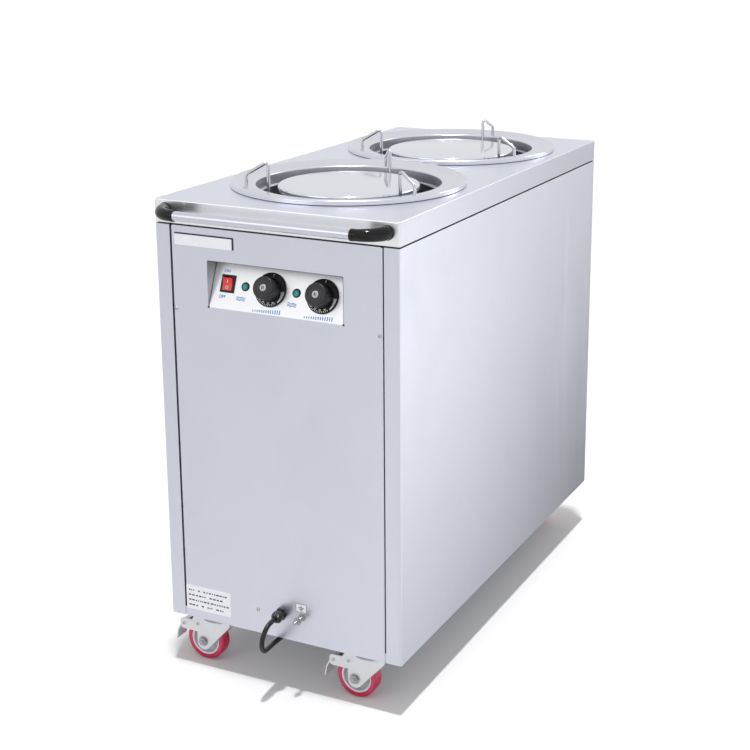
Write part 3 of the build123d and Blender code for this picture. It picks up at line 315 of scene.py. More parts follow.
mouldings = {
    "glossBlack": ((0.005, 0.005, 0.006), (0.012, 0.012, 0.014), 0.10, 0.04, 700, 0.05, 0.0, 0.3),
    "knobBlack": ((0.014, 0.014, 0.016), (0.03, 0.031, 0.034), 0.30, 0.12, 1500, 0.25, 0.0, 0.42),
    "rockerRed": ((0.92, 0.022, 0.014), (0.96, 0.06, 0.04), 0.2, 0.08, 900, 0.03, 0.4),
    "lensTeal": ((0.0, 0.32, 0.33), (0.0, 0.44, 0.43), 0.14, 0.06, 400, 0.05, 0.6),
    "rimWhite": ((0.86, 0.87, 0.90), (0.78, 0.79, 0.82), 0.3, 0.1, 900, 0.08, 0.2),
    "hubGrey": ((0.62, 0.63, 0.66), (0.50, 0.51, 0.54), 0.38, 0.12, 900, 0.1, 0.1),
    "treadRed": ((0.64, 0.012, 0.085), (0.52, 0.02, 0.07), 0.2, 0.14, 500, 0.1, 0.5),
    # this black is the cord and plug, and also the painted shadow ring under the well rims
    "cordAndShadeBlack": ((0.008, 0.008, 0.010), (0.022, 0.022, 0.025), 0.28, 0.12, 900, 0.12, 0.0, 0.4),
    "blockWhite": ((0.80, 0.79, 0.75), (0.66, 0.64, 0.6), 0.42, 0.1, 900, 0.1, 0.0),
    "labelWhite": ((0.94, 0.955, 1.0), (0.88, 0.895, 0.94), 0.42, 0.08, 2500, 0.05, 0.1),
    "printBlue": ((0.02, 0.20, 0.62), (0.05, 0.26, 0.66), 0.5, 0.05, 2500, 0.02, 0.0),
    "printWhite": ((0.84, 0.85, 0.86), (0.7, 0.71, 0.72), 0.45, 0.05, 2500, 0.02, 0.0),
    "printGrey": ((0.45, 0.46, 0.50), (0.55, 0.56, 0.6), 0.5, 0.05, 2500, 0.02, 0.0),
    "glandBlack": ((0.006, 0.006, 0.008), (0.02, 0.02, 0.023), 0.18, 0.08, 900, 0.1, 0.1, 0.5),
    "dialBlack": ((0.008, 0.008, 0.010), (0.02, 0.02, 0.022), 0.25, 0.08, 900, 0.05, 0.0, 0.12),
    "bezelBlack": ((0.02, 0.02, 0.022), (0.04, 0.04, 0.042), 0.3, 0.08, 900, 0.08, 0.1, 0.25),
    # this dark is print, and also the painted shade at the window's edges
    "darkPrintAndShade": ((0.02, 0.02, 0.03), (0.05, 0.05, 0.06), 0.5, 0.05, 2500, 0.02, 0.0),
    "printNavy": ((0.012, 0.014, 0.06), (0.03, 0.03, 0.09), 0.35, 0.05, 2500, 0.02, 0.1),
}

# faces that get painted shade or painted light as (axis, side, edge, factor), darker below a factor of one and lighter
# above it, a painted shade fade along an axis, and a part-metal coating
# painted shade: a sheet's top, inside the gap under the table's skirt, is darkened almost to black
shadowUnderTable = (2, "above", 0.8036, 0.12)
paintedLightAndCoating = {
    "satinSheet": {"faces": (shadowUnderTable,)},
    # painted shade on the front panel's faces behind its front plane, in its gaps and window
    "frontSheet": {"faces": (shadowUnderTable, (1, "above", -0.4283, 0.80))},
    # painted shade on the table's right side face and painted light on its front apron
    "satinTop": {"faces": ((0, "above", 0.2272, 0.86), (1, "below", -0.4292, 1.24))},
    # painted shade on the plate's edges and the window's cheeks, and a painted shade fade that darkens the plate
    # towards its top under the window's overhang
    "controlPlate": {
        "faces": ((0, "below", -0.1262, 0.72), (0, "above", 0.1262, 0.72)), "fade": (2, (0.706, 0.748, 1.0, 0.74)),
    },
    "zincPlate": {"metal": 0.35},
}
wear = {
    "metalMarks": 7.0, "mouldedMarks": 60.0, "mouldedAmount": 0.6, "dustTop": 0.25, "bump": 0.0002, "coatRough": 0.08,
}
sideTests = {"above": "GREATER_THAN", "below": "LESS_THAN"}


def startMaterial(name):
    material = bpy.data.materials.new(name)
    material.use_nodes = True
    tree = material.node_tree
    return material, tree, tree.nodes["Principled BSDF"].inputs, objectPlace(tree)


def finishShader(tree, shader, place, look, mask, rough, height):
    colours = {"Factor": mask, 6: (*look["colour"], 1), 7: (*look["second"], 1)}
    painted = addNode(tree, "ShaderNodeMix", colours, data_type="RGBA").outputs[2]
    spot = splitPlace(tree, place)
    # painted shade and painted light: each face rule multiplies the colour by its factor
    for axis, side, edge, factor in look.get("faces", ()):
        shade = {"Factor": calc(tree, sideTests[side], spot[axis], edge), 6: painted, 7: (factor, factor, factor, 1)}
        painted = addNode(tree, "ShaderNodeMix", shade, data_type="RGBA", blend_type="MULTIPLY").outputs[2]
    # the fade darkens the colour along an axis as painted shade
    if "fade" in look:
        axis, limits = look["fade"]
        fade = remap(tree, spot[axis], limits, interpolation_type="SMOOTHSTEP")
        painted = feed(tree, "ShaderNodeVectorMath", {0: painted, "Scale": fade}, operation="SCALE")
    tree.links.new(painted, shader["Base Color"])
    tree.links.new(rough, shader["Roughness"])
    bump = feed(tree, "ShaderNodeBump", {"Height": height, "Distance": wear["bump"], "Strength": 1.0})
    tree.links.new(bump, shader["Normal"])


def makeMetal(name, look):
    material, tree, shader, place = startMaterial(name)
    grain = useEffect(tree, "grain", {"Place": place, "Stretch": look["stretch"], "Depth": look["depth"]})
    marks = useEffect(tree, "marks", {"Place": place, "Size": wear["metalMarks"], "Amount": look["marks"]})
    dust = useEffect(tree, "dust", {"Place": place, "Top": wear["dustTop"], "Amount": look["dust"]})
    mask = calc(tree, "MAXIMUM", marks[0], dust[0], use_clamp=True)
    streaky = calc(tree, "MULTIPLY_ADD", grain["Streak"], look["spread"], look["rough"])
    rough = calc(tree, "MULTIPLY_ADD", mask, look["spread"], streaky)
    shader["Metallic"].default_value = look.get("metal", 1.0)
    finishShader(tree, shader, place, look, mask, rough, grain["Height"])
    return material


def makeMoulding(name, look):
    material, tree, shader, place = startMaterial(name)
    skin = useEffect(tree, "skin", {"Place": place, "Size": look["size"], "Depth": look["depth"]})
    blotches = {"Place": place, "Size": wear["mouldedMarks"], "Amount": wear["mouldedAmount"]}
    marks = useEffect(tree, "marks", blotches)[0]
    shader["Metallic"].default_value = 0.0
    shader["Coat Weight"].default_value = look["coat"]
    shader["Specular IOR Level"].default_value = look.get("specular", 0.5)
    shader["Coat Roughness"].default_value = wear["coatRough"]
    rough = calc(tree, "MULTIPLY_ADD", marks, look["spread"], look["rough"])
    finishShader(tree, shader, place, look, marks, rough, skin[0])
    return material


finish = {name: makeMetal(name, dict(zip(metalParts, row), **paintedLightAndCoating.get(name, {}))) for name, row in metals.items()}
finish.update({name: makeMoulding(name, dict(zip(mouldingParts, row))) for name, row in mouldings.items()})
print("materials made:", len(finish))

makeCamera()
makeStudio()
makeFloor()
print("camera, lights and floor made")

# mesh helpers


def finishBuild(build, name):
    bmesh.ops.remove_doubles(build, verts=build.verts, dist=1e-7)
    bmesh.ops.recalc_face_normals(build, faces=build.faces)
    mesh = bpy.data.meshes.new(name)
    build.to_mesh(mesh)
    build.free()
    return mesh


def around(radius, turn, height=0.0):
    return radius * math.cos(turn), radius * math.sin(turn), height


def turnsOf(steps):
    return [2 * math.pi * step / steps for step in range(steps)]


def roundedLine(points, radii, steps=7):
    # a run of 2D points with each inner corner turned into an arc
    line = [Vector(points[0])]
    radii = list(radii) if hasattr(radii, "__len__") else [radii] * (len(points) - 2)
    for before, corner, after, radius in zip(points, points[1:], points[2:], radii):
        corner = Vector(corner)
        inWay, awayWay = (corner - Vector(before)).normalized(), (Vector(after) - corner).normalized()
        half = inWay.angle(awayWay) / 2
        start = corner - inWay * radius * math.tan(half)
        side = 1 if inWay.cross(awayWay) > 0 else -1
        centre = start + Vector((-inWay.y, inWay.x)) * radius * side
        for step in range(steps + 1):
            line.append(centre + Matrix.Rotation(side * 2 * half * step / steps, 2) @ (start - centre))
    line.append(Vector(points[-1]))
    return [tuple(point) for point in line]


def domeLine(radius, rise, steps, foot=0.0):
    # a quarter arch from the axis down to the rim
    turns = [math.pi / 2 * step / steps for step in range(steps + 1)]
    return [(radius * math.sin(turn), foot + rise * math.cos(turn)) for turn in turns]


def skinMesh(name, rings, closed=False):
    # rings of points joined into one skin with flat ends; a ring of one point is a pole
    build = bmesh.new()
    rows = [[build.verts.new(point) for point in ring] for ring in rings]
    for low, high in list(zip(rows, rows[1:])) + ([(rows[-1], rows[0])] if closed else []):
        steps = max(len(low), len(high))
        for step in range(steps):
            after = (step + 1) % steps
            corners = [low[step % len(low)], low[after % len(low)], high[after % len(high)], high[step % len(high)]]
            build.faces.new(list(dict.fromkeys(corners)))
    for row in (rows[0], rows[-1]):
        if not closed and len(row) > 1:
            build.faces.new(row)
    return finishBuild(build, name)


def turnedMesh(name, levels, steps, closed=False):
    # levels are (height, radius at an angle)
    rings = [[around(radiusAt(turn), turn, height) for turn in turnsOf(steps)] for height, radiusAt in levels]
    return skinMesh(name, rings, closed)


def latheMesh(name, profile, steps=128, closed=False):
    # profile is a run of (radius, height); a point on the axis becomes a pole
    rings = []
    for radius, height in profile:
        onAxis = radius < 1e-7
        rings.append([(0, 0, height)] if onAxis else [around(radius, turn, height) for turn in turnsOf(steps)])
    return skinMesh(name, rings, closed)


def prismMesh(name, outline, height, bevel=0.0, segments=2):
    # an upright prism on a 2D outline, with its edges eased
    build = bmesh.new()
    base = build.faces.new([build.verts.new((x, y, 0)) for x, y in outline])
    grown = bmesh.ops.extrude_face_region(build, geom=[base])
    top = [item for item in grown["geom"] if isinstance(item, bmesh.types.BMVert)]
    bmesh.ops.translate(build, verts=top, vec=(0, 0, height))
    bmesh.ops.recalc_face_normals(build, faces=build.faces)
    if bevel:
        sharp = [edge for edge in build.edges if edge.calc_face_angle(0) > math.radians(25)]
        bmesh.ops.bevel(build, geom=sharp, offset=bevel, segments=segments, affect="EDGES", profile=0.6)
    return finishBuild(build, name)


def roundAt(radius):
    return lambda turn: radius


def ribbedAt(radius, ribs, depth, power=1.5):
    return lambda turn: radius - depth * (0.5 - 0.5 * math.cos(ribs * turn)) ** power


def hexAt(radius, limit=None):
    # the reach of a hexagon's side at an angle, held inside a circle
    def reach(turn):
        side = radius * math.cos(math.pi / 6) / math.cos((turn % (math.pi / 3)) - math.pi / 6)
        return min(side, limit) if limit else side
    return reach


def joinMeshes(name, meshes):
    build = bmesh.new()
    for mesh in meshes:
        build.from_mesh(mesh)
    joined = bpy.data.meshes.new(name)
    build.to_mesh(joined)
    build.free()
    return joined


def moved(mesh, matrix):
    mesh.transform(matrix)
    return mesh


def frameMatrix(origin, right, up, out):
    matrix = Matrix((right, up, out)).transposed().to_4x4()
    matrix.translation = origin
    return matrix


def frontMatrix(x, z, out=0.0):
    # a frame in millimetres whose third axis points out of the front panel
    return frameMatrix(Vector((x * mm, frontY - out * mm, z * mm)), rightWay, upWay, outWay) @ inMillimetres


def rearMatrix(x, y, z):
    # a frame in millimetres whose third axis points to the rear
    return frameMatrix(Vector((x * mm, y, z * mm)), -rightWay, upWay, -outWay) @ inMillimetres


def makePiece(name, mesh, look, place=None, body="cabinet", replaces=(), sharpAngle=35.0):
    if place is not None:
        mesh.transform(place)
    piece = addObject(name, mesh)
    mesh.materials.clear()
    mesh.materials.append(finish[look])
    mesh.polygons.foreach_set("use_smooth", [True] * len(mesh.polygons))
    mesh.set_sharp_from_angle(angle=math.radians(sharpAngle))
    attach(piece, body)
    if replaces:
        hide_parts(*replaces)
    return piece


def plainMesh(item):
    bpy.context.view_layer.update()
    return bpy.data.meshes.new_from_object(item.evaluated_get(bpy.context.evaluated_depsgraph_get()))


def textMesh(words, size, lift):
    curve = bpy.data.curves.new(words, "FONT")
    curve.body, curve.size, curve.extrude, curve.offset = words, size, lift, size * 0.02
    curve.align_x = curve.align_y = "CENTER"
    writer = addObject(words, curve)
    mesh = plainMesh(writer)
    bpy.data.objects.remove(writer)
    return mesh


# geometry node trees, each run once into a plain mesh

geometrySocket, materialSocket = "NodeSocketGeometry", "NodeSocketMaterial"
specialSockets = {"Template": "NodeSocketObject", "Count": "NodeSocketInt"}
barSteps = {"corner": 9, "bar": 20, "spiral": 40, "wire": 14}


def startTree(name, sizes):
    inputs = [("Geometry", geometrySocket, None)]
    inputs += [(label, specialSockets.get(label, numberSocket), value) for label, value in sizes.items()]
    inputs.append(("Finish", materialSocket, None))
    return startGroup(name, "GeometryNodeTree", inputs, [("Geometry", geometrySocket)])


def endTree(tree, geometry, given, result):
    real = feed(tree, "GeometryNodeRealizeInstances", {"Geometry": geometry})
    coated = feed(tree, "GeometryNodeSetMaterial", {"Geometry": real, "Material": given["Finish"]})
    tree.links.new(coated, result["Geometry"])
    return tree


def sweep(tree, run, thickness, steps):
    section = feed(tree, "GeometryNodeCurvePrimitiveCircle", {"Resolution": steps, "Radius": thickness})
    return feed(tree, "GeometryNodeCurveToMesh", {"Curve": run, "Profile Curve": section, "Fill Caps": True})


def copyOnto(tree, points, template, turn=()):
    shape = addNode(tree, "GeometryNodeObjectInfo", {"Object": template}).outputs["Geometry"]
    return feed(tree, "GeometryNodeInstanceOnPoints", {"Points": points, "Instance": shape, **dict(turn)})


def makeTubeTree():
    # a round bar along a run of edges, with its corners bent to a radius
    tree, given, result = startTree("bentBar", {"Bend": 0.005, "Thickness": 0.003})
    run = feed(tree, "GeometryNodeMeshToCurve", {"Mesh": given["Geometry"]})
    corners = {"Curve": run, "Radius": given["Bend"], "Count": barSteps["corner"], "Limit Radius": True}
    bent = feed(tree, "GeometryNodeFilletCurve", corners, mode="POLY")
    return endTree(tree, sweep(tree, bent, given["Thickness"], barSteps["bar"]), given, result)


def makeSpringTree():
    # a coil spring standing on the origin
    tree, given, result = startTree("coilSpring", {"Turns": 6.0, "Radius": 0.05, "Height": 0.5, "Thickness": 0.003})
    shape = {"Resolution": barSteps["spiral"], "Rotations": given["Turns"], "Height": given["Height"]}
    shape.update({label: given["Radius"] for label in ("Start Radius", "End Radius")})
    spiral = feed(tree, "GeometryNodeCurveSpiral", shape)
    return endTree(tree, sweep(tree, spiral, given["Thickness"], barSteps["wire"]), given, result)


def makeRingTree():
    # copies of a template round an arc, each turned to face outwards
    sizes = {"Template": None, "Count": 12, "Radius": 0.01, "Start": 0.0, "Step": 0.5}
    tree, given, result = startTree("ringOfCopies", sizes)
    points = feed(tree, "GeometryNodeMeshLine", {"Count": given["Count"]})
    angle = calc(tree, "MULTIPLY_ADD", feed(tree, "GeometryNodeInputIndex"), given["Step"], given["Start"])
    unit = feed(tree, "ShaderNodeCombineXYZ", {"X": calc(tree, "COSINE", angle), "Y": calc(tree, "SINE", angle)})
    spot = feed(tree, "ShaderNodeVectorMath", {0: unit, "Scale": given["Radius"]}, operation="SCALE")
    spread = feed(tree, "GeometryNodeSetPosition", {"Geometry": points, "Position": spot})
    turn = {"Rotation": feed(tree, "ShaderNodeCombineXYZ", {"Z": angle})}
    return endTree(tree, copyOnto(tree, spread, given["Template"], turn), given, result)


def makeScatterTree():
    # a copy of a template on every point of the given mesh
    tree, given, result = startTree("copyOnPoints", {"Template": None})
    return endTree(tree, copyOnto(tree, given["Geometry"], given["Template"]), given, result)


trees = {"tube": makeTubeTree(), "spring": makeSpringTree(), "ring": makeRingTree(), "scatter": makeScatterTree()}


def growMesh(treeName, look, values, points=(), edges=()):
    # runs a node tree once and keeps its result as a plain mesh
    seedMesh = bpy.data.meshes.new("seed")
    seedMesh.from_pydata(list(points), list(edges), [])
    seed = addObject("seed", seedMesh)
    modifier = seed.modifiers.new("grow", "NODES")
    modifier.node_group = trees[treeName]
    values = {**values, "Finish": finish[look]}
    for item in trees[treeName].interface.items_tree:
        if item.item_type == "SOCKET" and item.in_out == "INPUT" and item.name in values:
            modifier[item.identifier] = values[item.name]
    mesh = plainMesh(seed)
    seed.modifiers.remove(modifier)
    bpy.data.objects.remove(seed)
    return mesh


def growCopies(treeName, look, mesh, values, points=()):
    template = addObject("template", mesh)
    bpy.context.view_layer.update()
    grown = growMesh(treeName, look, {"Template": template, **values}, points)
    bpy.data.objects.remove(template)
    return grown


def copiesOnRing(mesh, count, radius, start, step, look):
    return growCopies("ring", look, mesh, {"Count": count, "Radius": radius, "Start": start, "Step": step})


def bentBar(points, bend, thickness, look):
    edges = [(i, i + 1) for i in range(len(points) - 1)]
    return growMesh("tube", look, {"Bend": bend, "Thickness": thickness}, points, edges)


# cabinet sheets and other CAD pieces that keep their shape

paints = {
    "satinSheet": ("side_panel_left", "side_panel_right", "back_panel", "base_pan"),
    "frontSheet": ("front_panel",),
    "satinTop": ("table_top",),
    "controlPlate": ("control_plate",),
    "wellWall": [f"well_barrel_{well}" for well in wellNames],
    "handleSteel": [f"platform_carrier_{well}" for well in wellNames],
    "glossBlack": ("handle_bracket_left", "handle_bracket_right", "switch_housing"),
    "zincPlate": (
        "thermostat_left", "thermostat_right", "brake_pedal_front_left", "brake_pedal_front_right",
        *[f"caster_{part}_{name}" for part in ("plate", "fork") for name in casterNames],
    ),
    "blockWhite": ("terminal_block",),
    "rockerRed": ("switch_rocker",),
    "fastenerSteel": ("caster_bolts",),
}
for look, nodeNames in paints.items():
    for name in nodeNames:
        nodes[name].material_slots[0].material = finish[look]

# plate guide rods, in metres

rods = {
    "thickness": 0.003, "reach": 0.038, "rise": 0.042, "shoulder": 0.021, "bend": 0.0055, "circle": 0.140,
    "tipLift": 0.0033, "angles": {"left": -145.0, "right": -24.0, "back": 86.0},
    "swings": {("front", "back"): 42.0, ("rear", "right"): 8.0, ("rear", "back"): -6.0},
}


def makeGuideRods(well):
    centre = wellCentre(well)
    for side, angle in rods["angles"].items():
        node = f"guide_rod_{well}_{side}"
        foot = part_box(node)[0].z
        heading = math.radians(angle + rods["swings"].get((well, side), 0.0))
        start = Vector((centre.x, centre.y, 0)) + Vector(around(rods["circle"], math.radians(angle)))
        tip = start + Vector(around(rods["reach"], heading))
        run = [
            (*start.xy, foot), (*start.xy, tableTop + rods["rise"]),
            (*tip.xy, tableTop + rods["shoulder"]), (*tip.xy, tableTop + rods["tipLift"]),
        ]
        mesh = bentBar(run, rods["bend"], rods["thickness"], "brightRod")
        makePiece(f"guideRod_{well}_{side}", mesh, "brightRod", None, f"rod_{well}_{side}", [node])


# lift springs and heating elements, in metres

spring = {"turns": 6.0, "radius": 0.050, "thickness": 0.0030, "travel": 0.400}
element = {"radius": 0.112, "thickness": 0.004, "gap": 30.0, "bend": 0.010, "steps": 90}


def makeSpring(well):
    node, wire = f"lift_spring_{well}", spring["thickness"]
    low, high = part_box(node)
    centre, tall = (low + high) / 2, high.z - low.z
    values = {"Turns": spring["turns"], "Radius": spring["radius"], "Height": tall - 2 * wire, "Thickness": wire}
    place = Matrix.Translation((centre.x, centre.y, low.z + wire))
    mesh = growMesh("spring", "springSteel", values)
    coil = makePiece(f"liftSpring_{well}", mesh, "springSteel", place, "cabinet", [node])
    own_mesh(coil)


def makeElement(well):
    node, radius, bend = f"heating_element_{well}", element["radius"], element["bend"]
    low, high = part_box(node)
    centre = wellCentre(well)
    top, half = high.z - element["thickness"], math.radians(element["gap"] / 2)
    turns = [half + (2 * math.pi - 2 * half) * i / element["steps"] for i in range(1, element["steps"])]
    ring = [(centre.x + radius * math.cos(turn), centre.y + radius * math.sin(turn), top) for turn in turns]
    x = centre.x + radius * math.cos(half) + bend * math.sin(half)
    across = radius * math.sin(half) - bend * math.cos(half)
    first, last = (x, centre.y + across), (x, centre.y - across)
    run = [(*first, low.z), (*first, top), *ring, (*last, top), (*last, low.z)]
    mesh = bentBar(run, bend, element["thickness"], "burntSheath")
    makePiece(f"heatingElement_{well}", mesh, "burntSheath", None, "cabinet", [node])


for makeOne in (makeGuideRods, makeSpring, makeElement):
    for well in wellNames:
        makeOne(well)
print("wells furnished")

# spun rings, discs and the handle bar; sizes from here on are in millimetres

ring = {
    # the black ring under each rim, given by radii and heights, is painted shadow
    "wall": 163.0, "rimShade": (198.0, 205.8, 0.02, 1.05), "sheet": 1.5, "steps": 192, "radii": (1.0, 3.0, 6.0, 4.0, 3.5),
    "line": ((156, -18), (162, -18), (162, 3), (184, 3), (200, 9), (206, 9), (206, 1)), "inside": 0.0015,
}
disc = {"sheet": 1.5, "steps": 160, "radius": 124.5, "skirt": 27.0, "bend": 4.0}
bar = {"radius": 8.0, "ease": 0.6, "steps": 64}


def sheetLoop(line, thickness):
    # closes a line into a sheet's section, with its thickness on the right of the travel
    points = [Vector(point) for point in line]
    inner = []
    for i, point in enumerate(points):
        way = (points[min(i + 1, len(points) - 1)] - points[max(i - 1, 0)]).normalized()
        inner.append(tuple(point + Vector((way.y, -way.x)) * thickness))
    return [tuple(point) for point in points] + inner[::-1]


def inMetres(line, lift=0.0):
    return [(across * mm, along * mm + lift) for across, along in line]


def makeWellRing(well):
    section = sheetLoop(roundedLine(ring["line"], ring["radii"]), ring["sheet"])
    mesh = latheMesh("wellRing", inMetres(section, tableTop), ring["steps"], closed=True)
    makePiece(f"wellRing_{well}", mesh, "brightRing", None, "cabinet", [f"well_ring_{well}"], 30)
    # the collar's faces inside the well take the darker copy of the ring's steel as painted shade
    mesh.materials.append(finish["collarShadeSteel"])
    for face in mesh.polygons:
        isCollar = face.center.xy.length < ring["wall"] * mm and face.center.z < tableTop + ring["inside"]
        face.material_index = int(isCollar)
    moved(mesh, wellPlace(well))


def makeRimShadowRing(well):
    # a black ring under the ring's turned-down rim: painted shadow, the dark line where the rim meets the table
    mesh = latheMesh("rimShade", inMetres(rectangle(*ring["rimShade"]), tableTop), ring["steps"], closed=True)
    makePiece(f"ringSeal_{well}", mesh, "cordAndShadeBlack", wellPlace(well))


def makePlatform(well):
    edge, sheet, skirt = disc["radius"], disc["sheet"], disc["skirt"]
    outer = roundedLine(((0, 0), (edge, 0), (edge, -skirt)), disc["bend"])
    under = roundedLine(((edge - sheet, -skirt), (edge - sheet, -sheet), (0, -sheet)), disc["bend"] - sheet)
    mesh = latheMesh("platform", inMetres(outer + under, tableTop), disc["steps"])
    makePiece(f"platform_{well}_disc", mesh, "polishedDisc", wellPlace(well), f"lift_{well}", [f"platform_{well}"], 40)


def makeHandleBar():
    low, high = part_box("handle_bar")
    radius, half, ease = bar["radius"], (high.x - low.x) / 2 / mm, bar["ease"]
    end = [(0, half), (radius - ease, half), (radius, half - ease)]
    profile = [(across, -along) for across, along in end] + end[::-1]
    place = Matrix.Translation((low + high) / 2) @ Matrix.Rotation(math.pi / 2, 4, "Y")
    mesh = latheMesh("handleBar", inMetres(profile), bar["steps"])
    makePiece("handleTube", mesh, "handleSteel", place, "cabinet", ["handle_bar"])


for makeOne in (makeWellRing, makeRimShadowRing, makePlatform):
    for well in wellNames:
        makeOne(well)
makeHandleBar()
print("rings, discs and bar made")

# controls on the leaning plate

controls = {
    "recess": (31, 79), "foot": 0.5735, "row": 42.5, "switch": -97.4,
    "lamps": {"left": -63.6, "right": 33.4}, "knobs": {"left": -14.9, "right": 82.0},
}
lamp = {"bezel": 7.6, "rise": 2.2, "lens": 5.4, "dome": 1.6, "depth": 20.0, "sunk": 0.4, "steps": 48}
knob = {
    "dial": 28.6, "lift": 0.8, "thick": 3.4, "grip": 19.8, "top": 28.0, "draft": 2.0, "dialSteps": 144,
    "ribs": 40, "ribDepth": 0.55, "faceDish": 0.8, "insert": 6.0, "slots": ((-1.4, 1.9, 5.4), (1.5, 1.2, 5.4)),
    "spindle": (3.0, -24.0), "face": ((0.93, 0.0), (0.88, 0.35), (0.6, 0.8), (0.32, 0.8)), "rim": 1.7,
}
scale = {
    "inner": 20.9, "outer": 27.2, "print": 0.12, "tick": (-1.5, 1.5, -0.45, 0.45), "tickStart": -58.0,
    "tickStep": -7.5, "ticks": 13, "pointer": (-2.0, 2.0, -0.45, 0.45), "pointerTurn": 83.0, "numberRadius": 22.8,
    "numberSize": 4.0, "numbers": {"90": -66, "70": -89, "50": -112, "30": -134},
    "band": (-48.0, 45.0), "bandShare": (0.25, 0.75), "bandSteps": 24, "sunk": 0.02, "numberLift": 0.04,
    "tickInset": 1.6, "pointerInset": 2.6,
}
lean = math.atan2(*controls["recess"])
plateUp, plateOut = Vector((0, math.sin(lean), math.cos(lean))), Vector((0, -math.cos(lean), math.sin(lean)))


def plateMatrix(x, up, out=0.0):
    # a frame in millimetres on the leaning plate, measured from the middle of its lower edge
    origin = Vector((0, frontY, cabinetFoot + controls["foot"])) + (rightWay * x + plateUp * up + plateOut * out) * mm
    return frameMatrix(origin, rightWay, plateUp, plateOut) @ inMillimetres


def raised(place, lift):
    return place @ Matrix.Translation((0, 0, lift))


def makeLamp(side, x):
    node, place = [f"signal_lamp_{side}"], plateMatrix(x, controls["row"])
    edge, rise, lens, back = lamp["bezel"], lamp["rise"], lamp["lens"], -lamp["depth"]
    seat = rise - lamp["sunk"]
    shell = [
        (lens, back), (lens, seat), (lens + 0.3, rise), (edge - 1.1, rise), (edge - 0.3, rise - 0.5),
        (edge, rise - 1.2), (edge, 0), (lens + 0.5, 0), (lens + 0.5, back),
    ]
    bezel = latheMesh("bezel", shell, lamp["steps"], closed=True)
    makePiece(f"lampBezel_{side}", bezel, "bezelBlack", place, "cabinet", node)
    dome = domeLine(lens, lamp["dome"] + lamp["sunk"], 8, seat) + [(lens - 0.05, back + 0.5), (0, back + 0.5)]
    makePiece(f"lampLens_{side}", latheMesh("lens", dome, lamp["steps"]), "lensTeal", place, "cabinet", node)


def gripMesh():
    # a knurled drum: ribs run up its side and fade out under a smooth rim, and its face is dished
    foot, top, ribs, depth = knob["lift"] + knob["thick"] - 0.2, knob["top"], knob["ribs"], knob["ribDepth"]
    slope = math.tan(math.radians(knob["draft"]))
    rows = (
        (foot, 0.0, 0.6), (foot + 1.2, 0.0, 1.0), (top - 4.0, 0.0, 1.0), (top - 2.2, 0.0, 1.0),
        (top - 1.8, 0.1, 0.0), (top - 0.9, 0.35, 0.0), (top - 0.25, 0.9, 0.0), (top, knob["rim"], 0.0),
    )
    levels = []
    for height, inset, rib in rows:
        levels.append((height, ribbedAt(knob["grip"] - slope * (height - foot) - inset, ribs, depth * rib, 2)))
    face = knob["grip"] - slope * (top - foot) - knob["rim"]
    levels += [(top - drop, roundAt(face * share)) for share, drop in knob["face"]]
    return turnedMesh("grip", levels, ribs * 6)


def wedgeMesh():
    # the widening heat band printed on the dial
    (start, sweepBy), (least, more), steps = scale["band"], scale["bandShare"], scale["bandSteps"]
    near, far = [], []
    for step in range(steps + 1):
        turn = math.radians(start + sweepBy * step / steps)
        reach = scale["outer"] - (scale["outer"] - scale["inner"]) * (least + more * step / steps)
        near.append(around(reach, turn)[:2])
        far.append(around(scale["outer"], turn)[:2])
    return prismMesh("wedge", near + far[::-1], scale["print"])


def dialPrints():
    marks = [copiesOnRing(
        prismMesh("tick", rectangle(*scale["tick"]), scale["print"]), scale["ticks"],
        scale["outer"] - scale["tickInset"], math.radians(scale["tickStart"]), math.radians(scale["tickStep"]),
        "printWhite",
    )]
    pointer = prismMesh("pointer", rectangle(*scale["pointer"]), scale["print"])
    turn = math.radians(scale["pointerTurn"])
    marks.append(copiesOnRing(pointer, 1, scale["outer"] - scale["pointerInset"], turn, 0.0, "printWhite"))
    numbers = []
    upright = Matrix.Translation((scale["numberRadius"], 0, 0)) @ Matrix.Rotation(math.pi / 2, 4, "Z")
    for words, turn in scale["numbers"].items():
        spot = Matrix.Rotation(math.radians(turn), 4, "Z") @ upright
        numbers.append(moved(textMesh(words, scale["numberSize"], scale["print"] / 2), spot))
    return joinMeshes("marks", marks), joinMeshes("numbers", numbers)


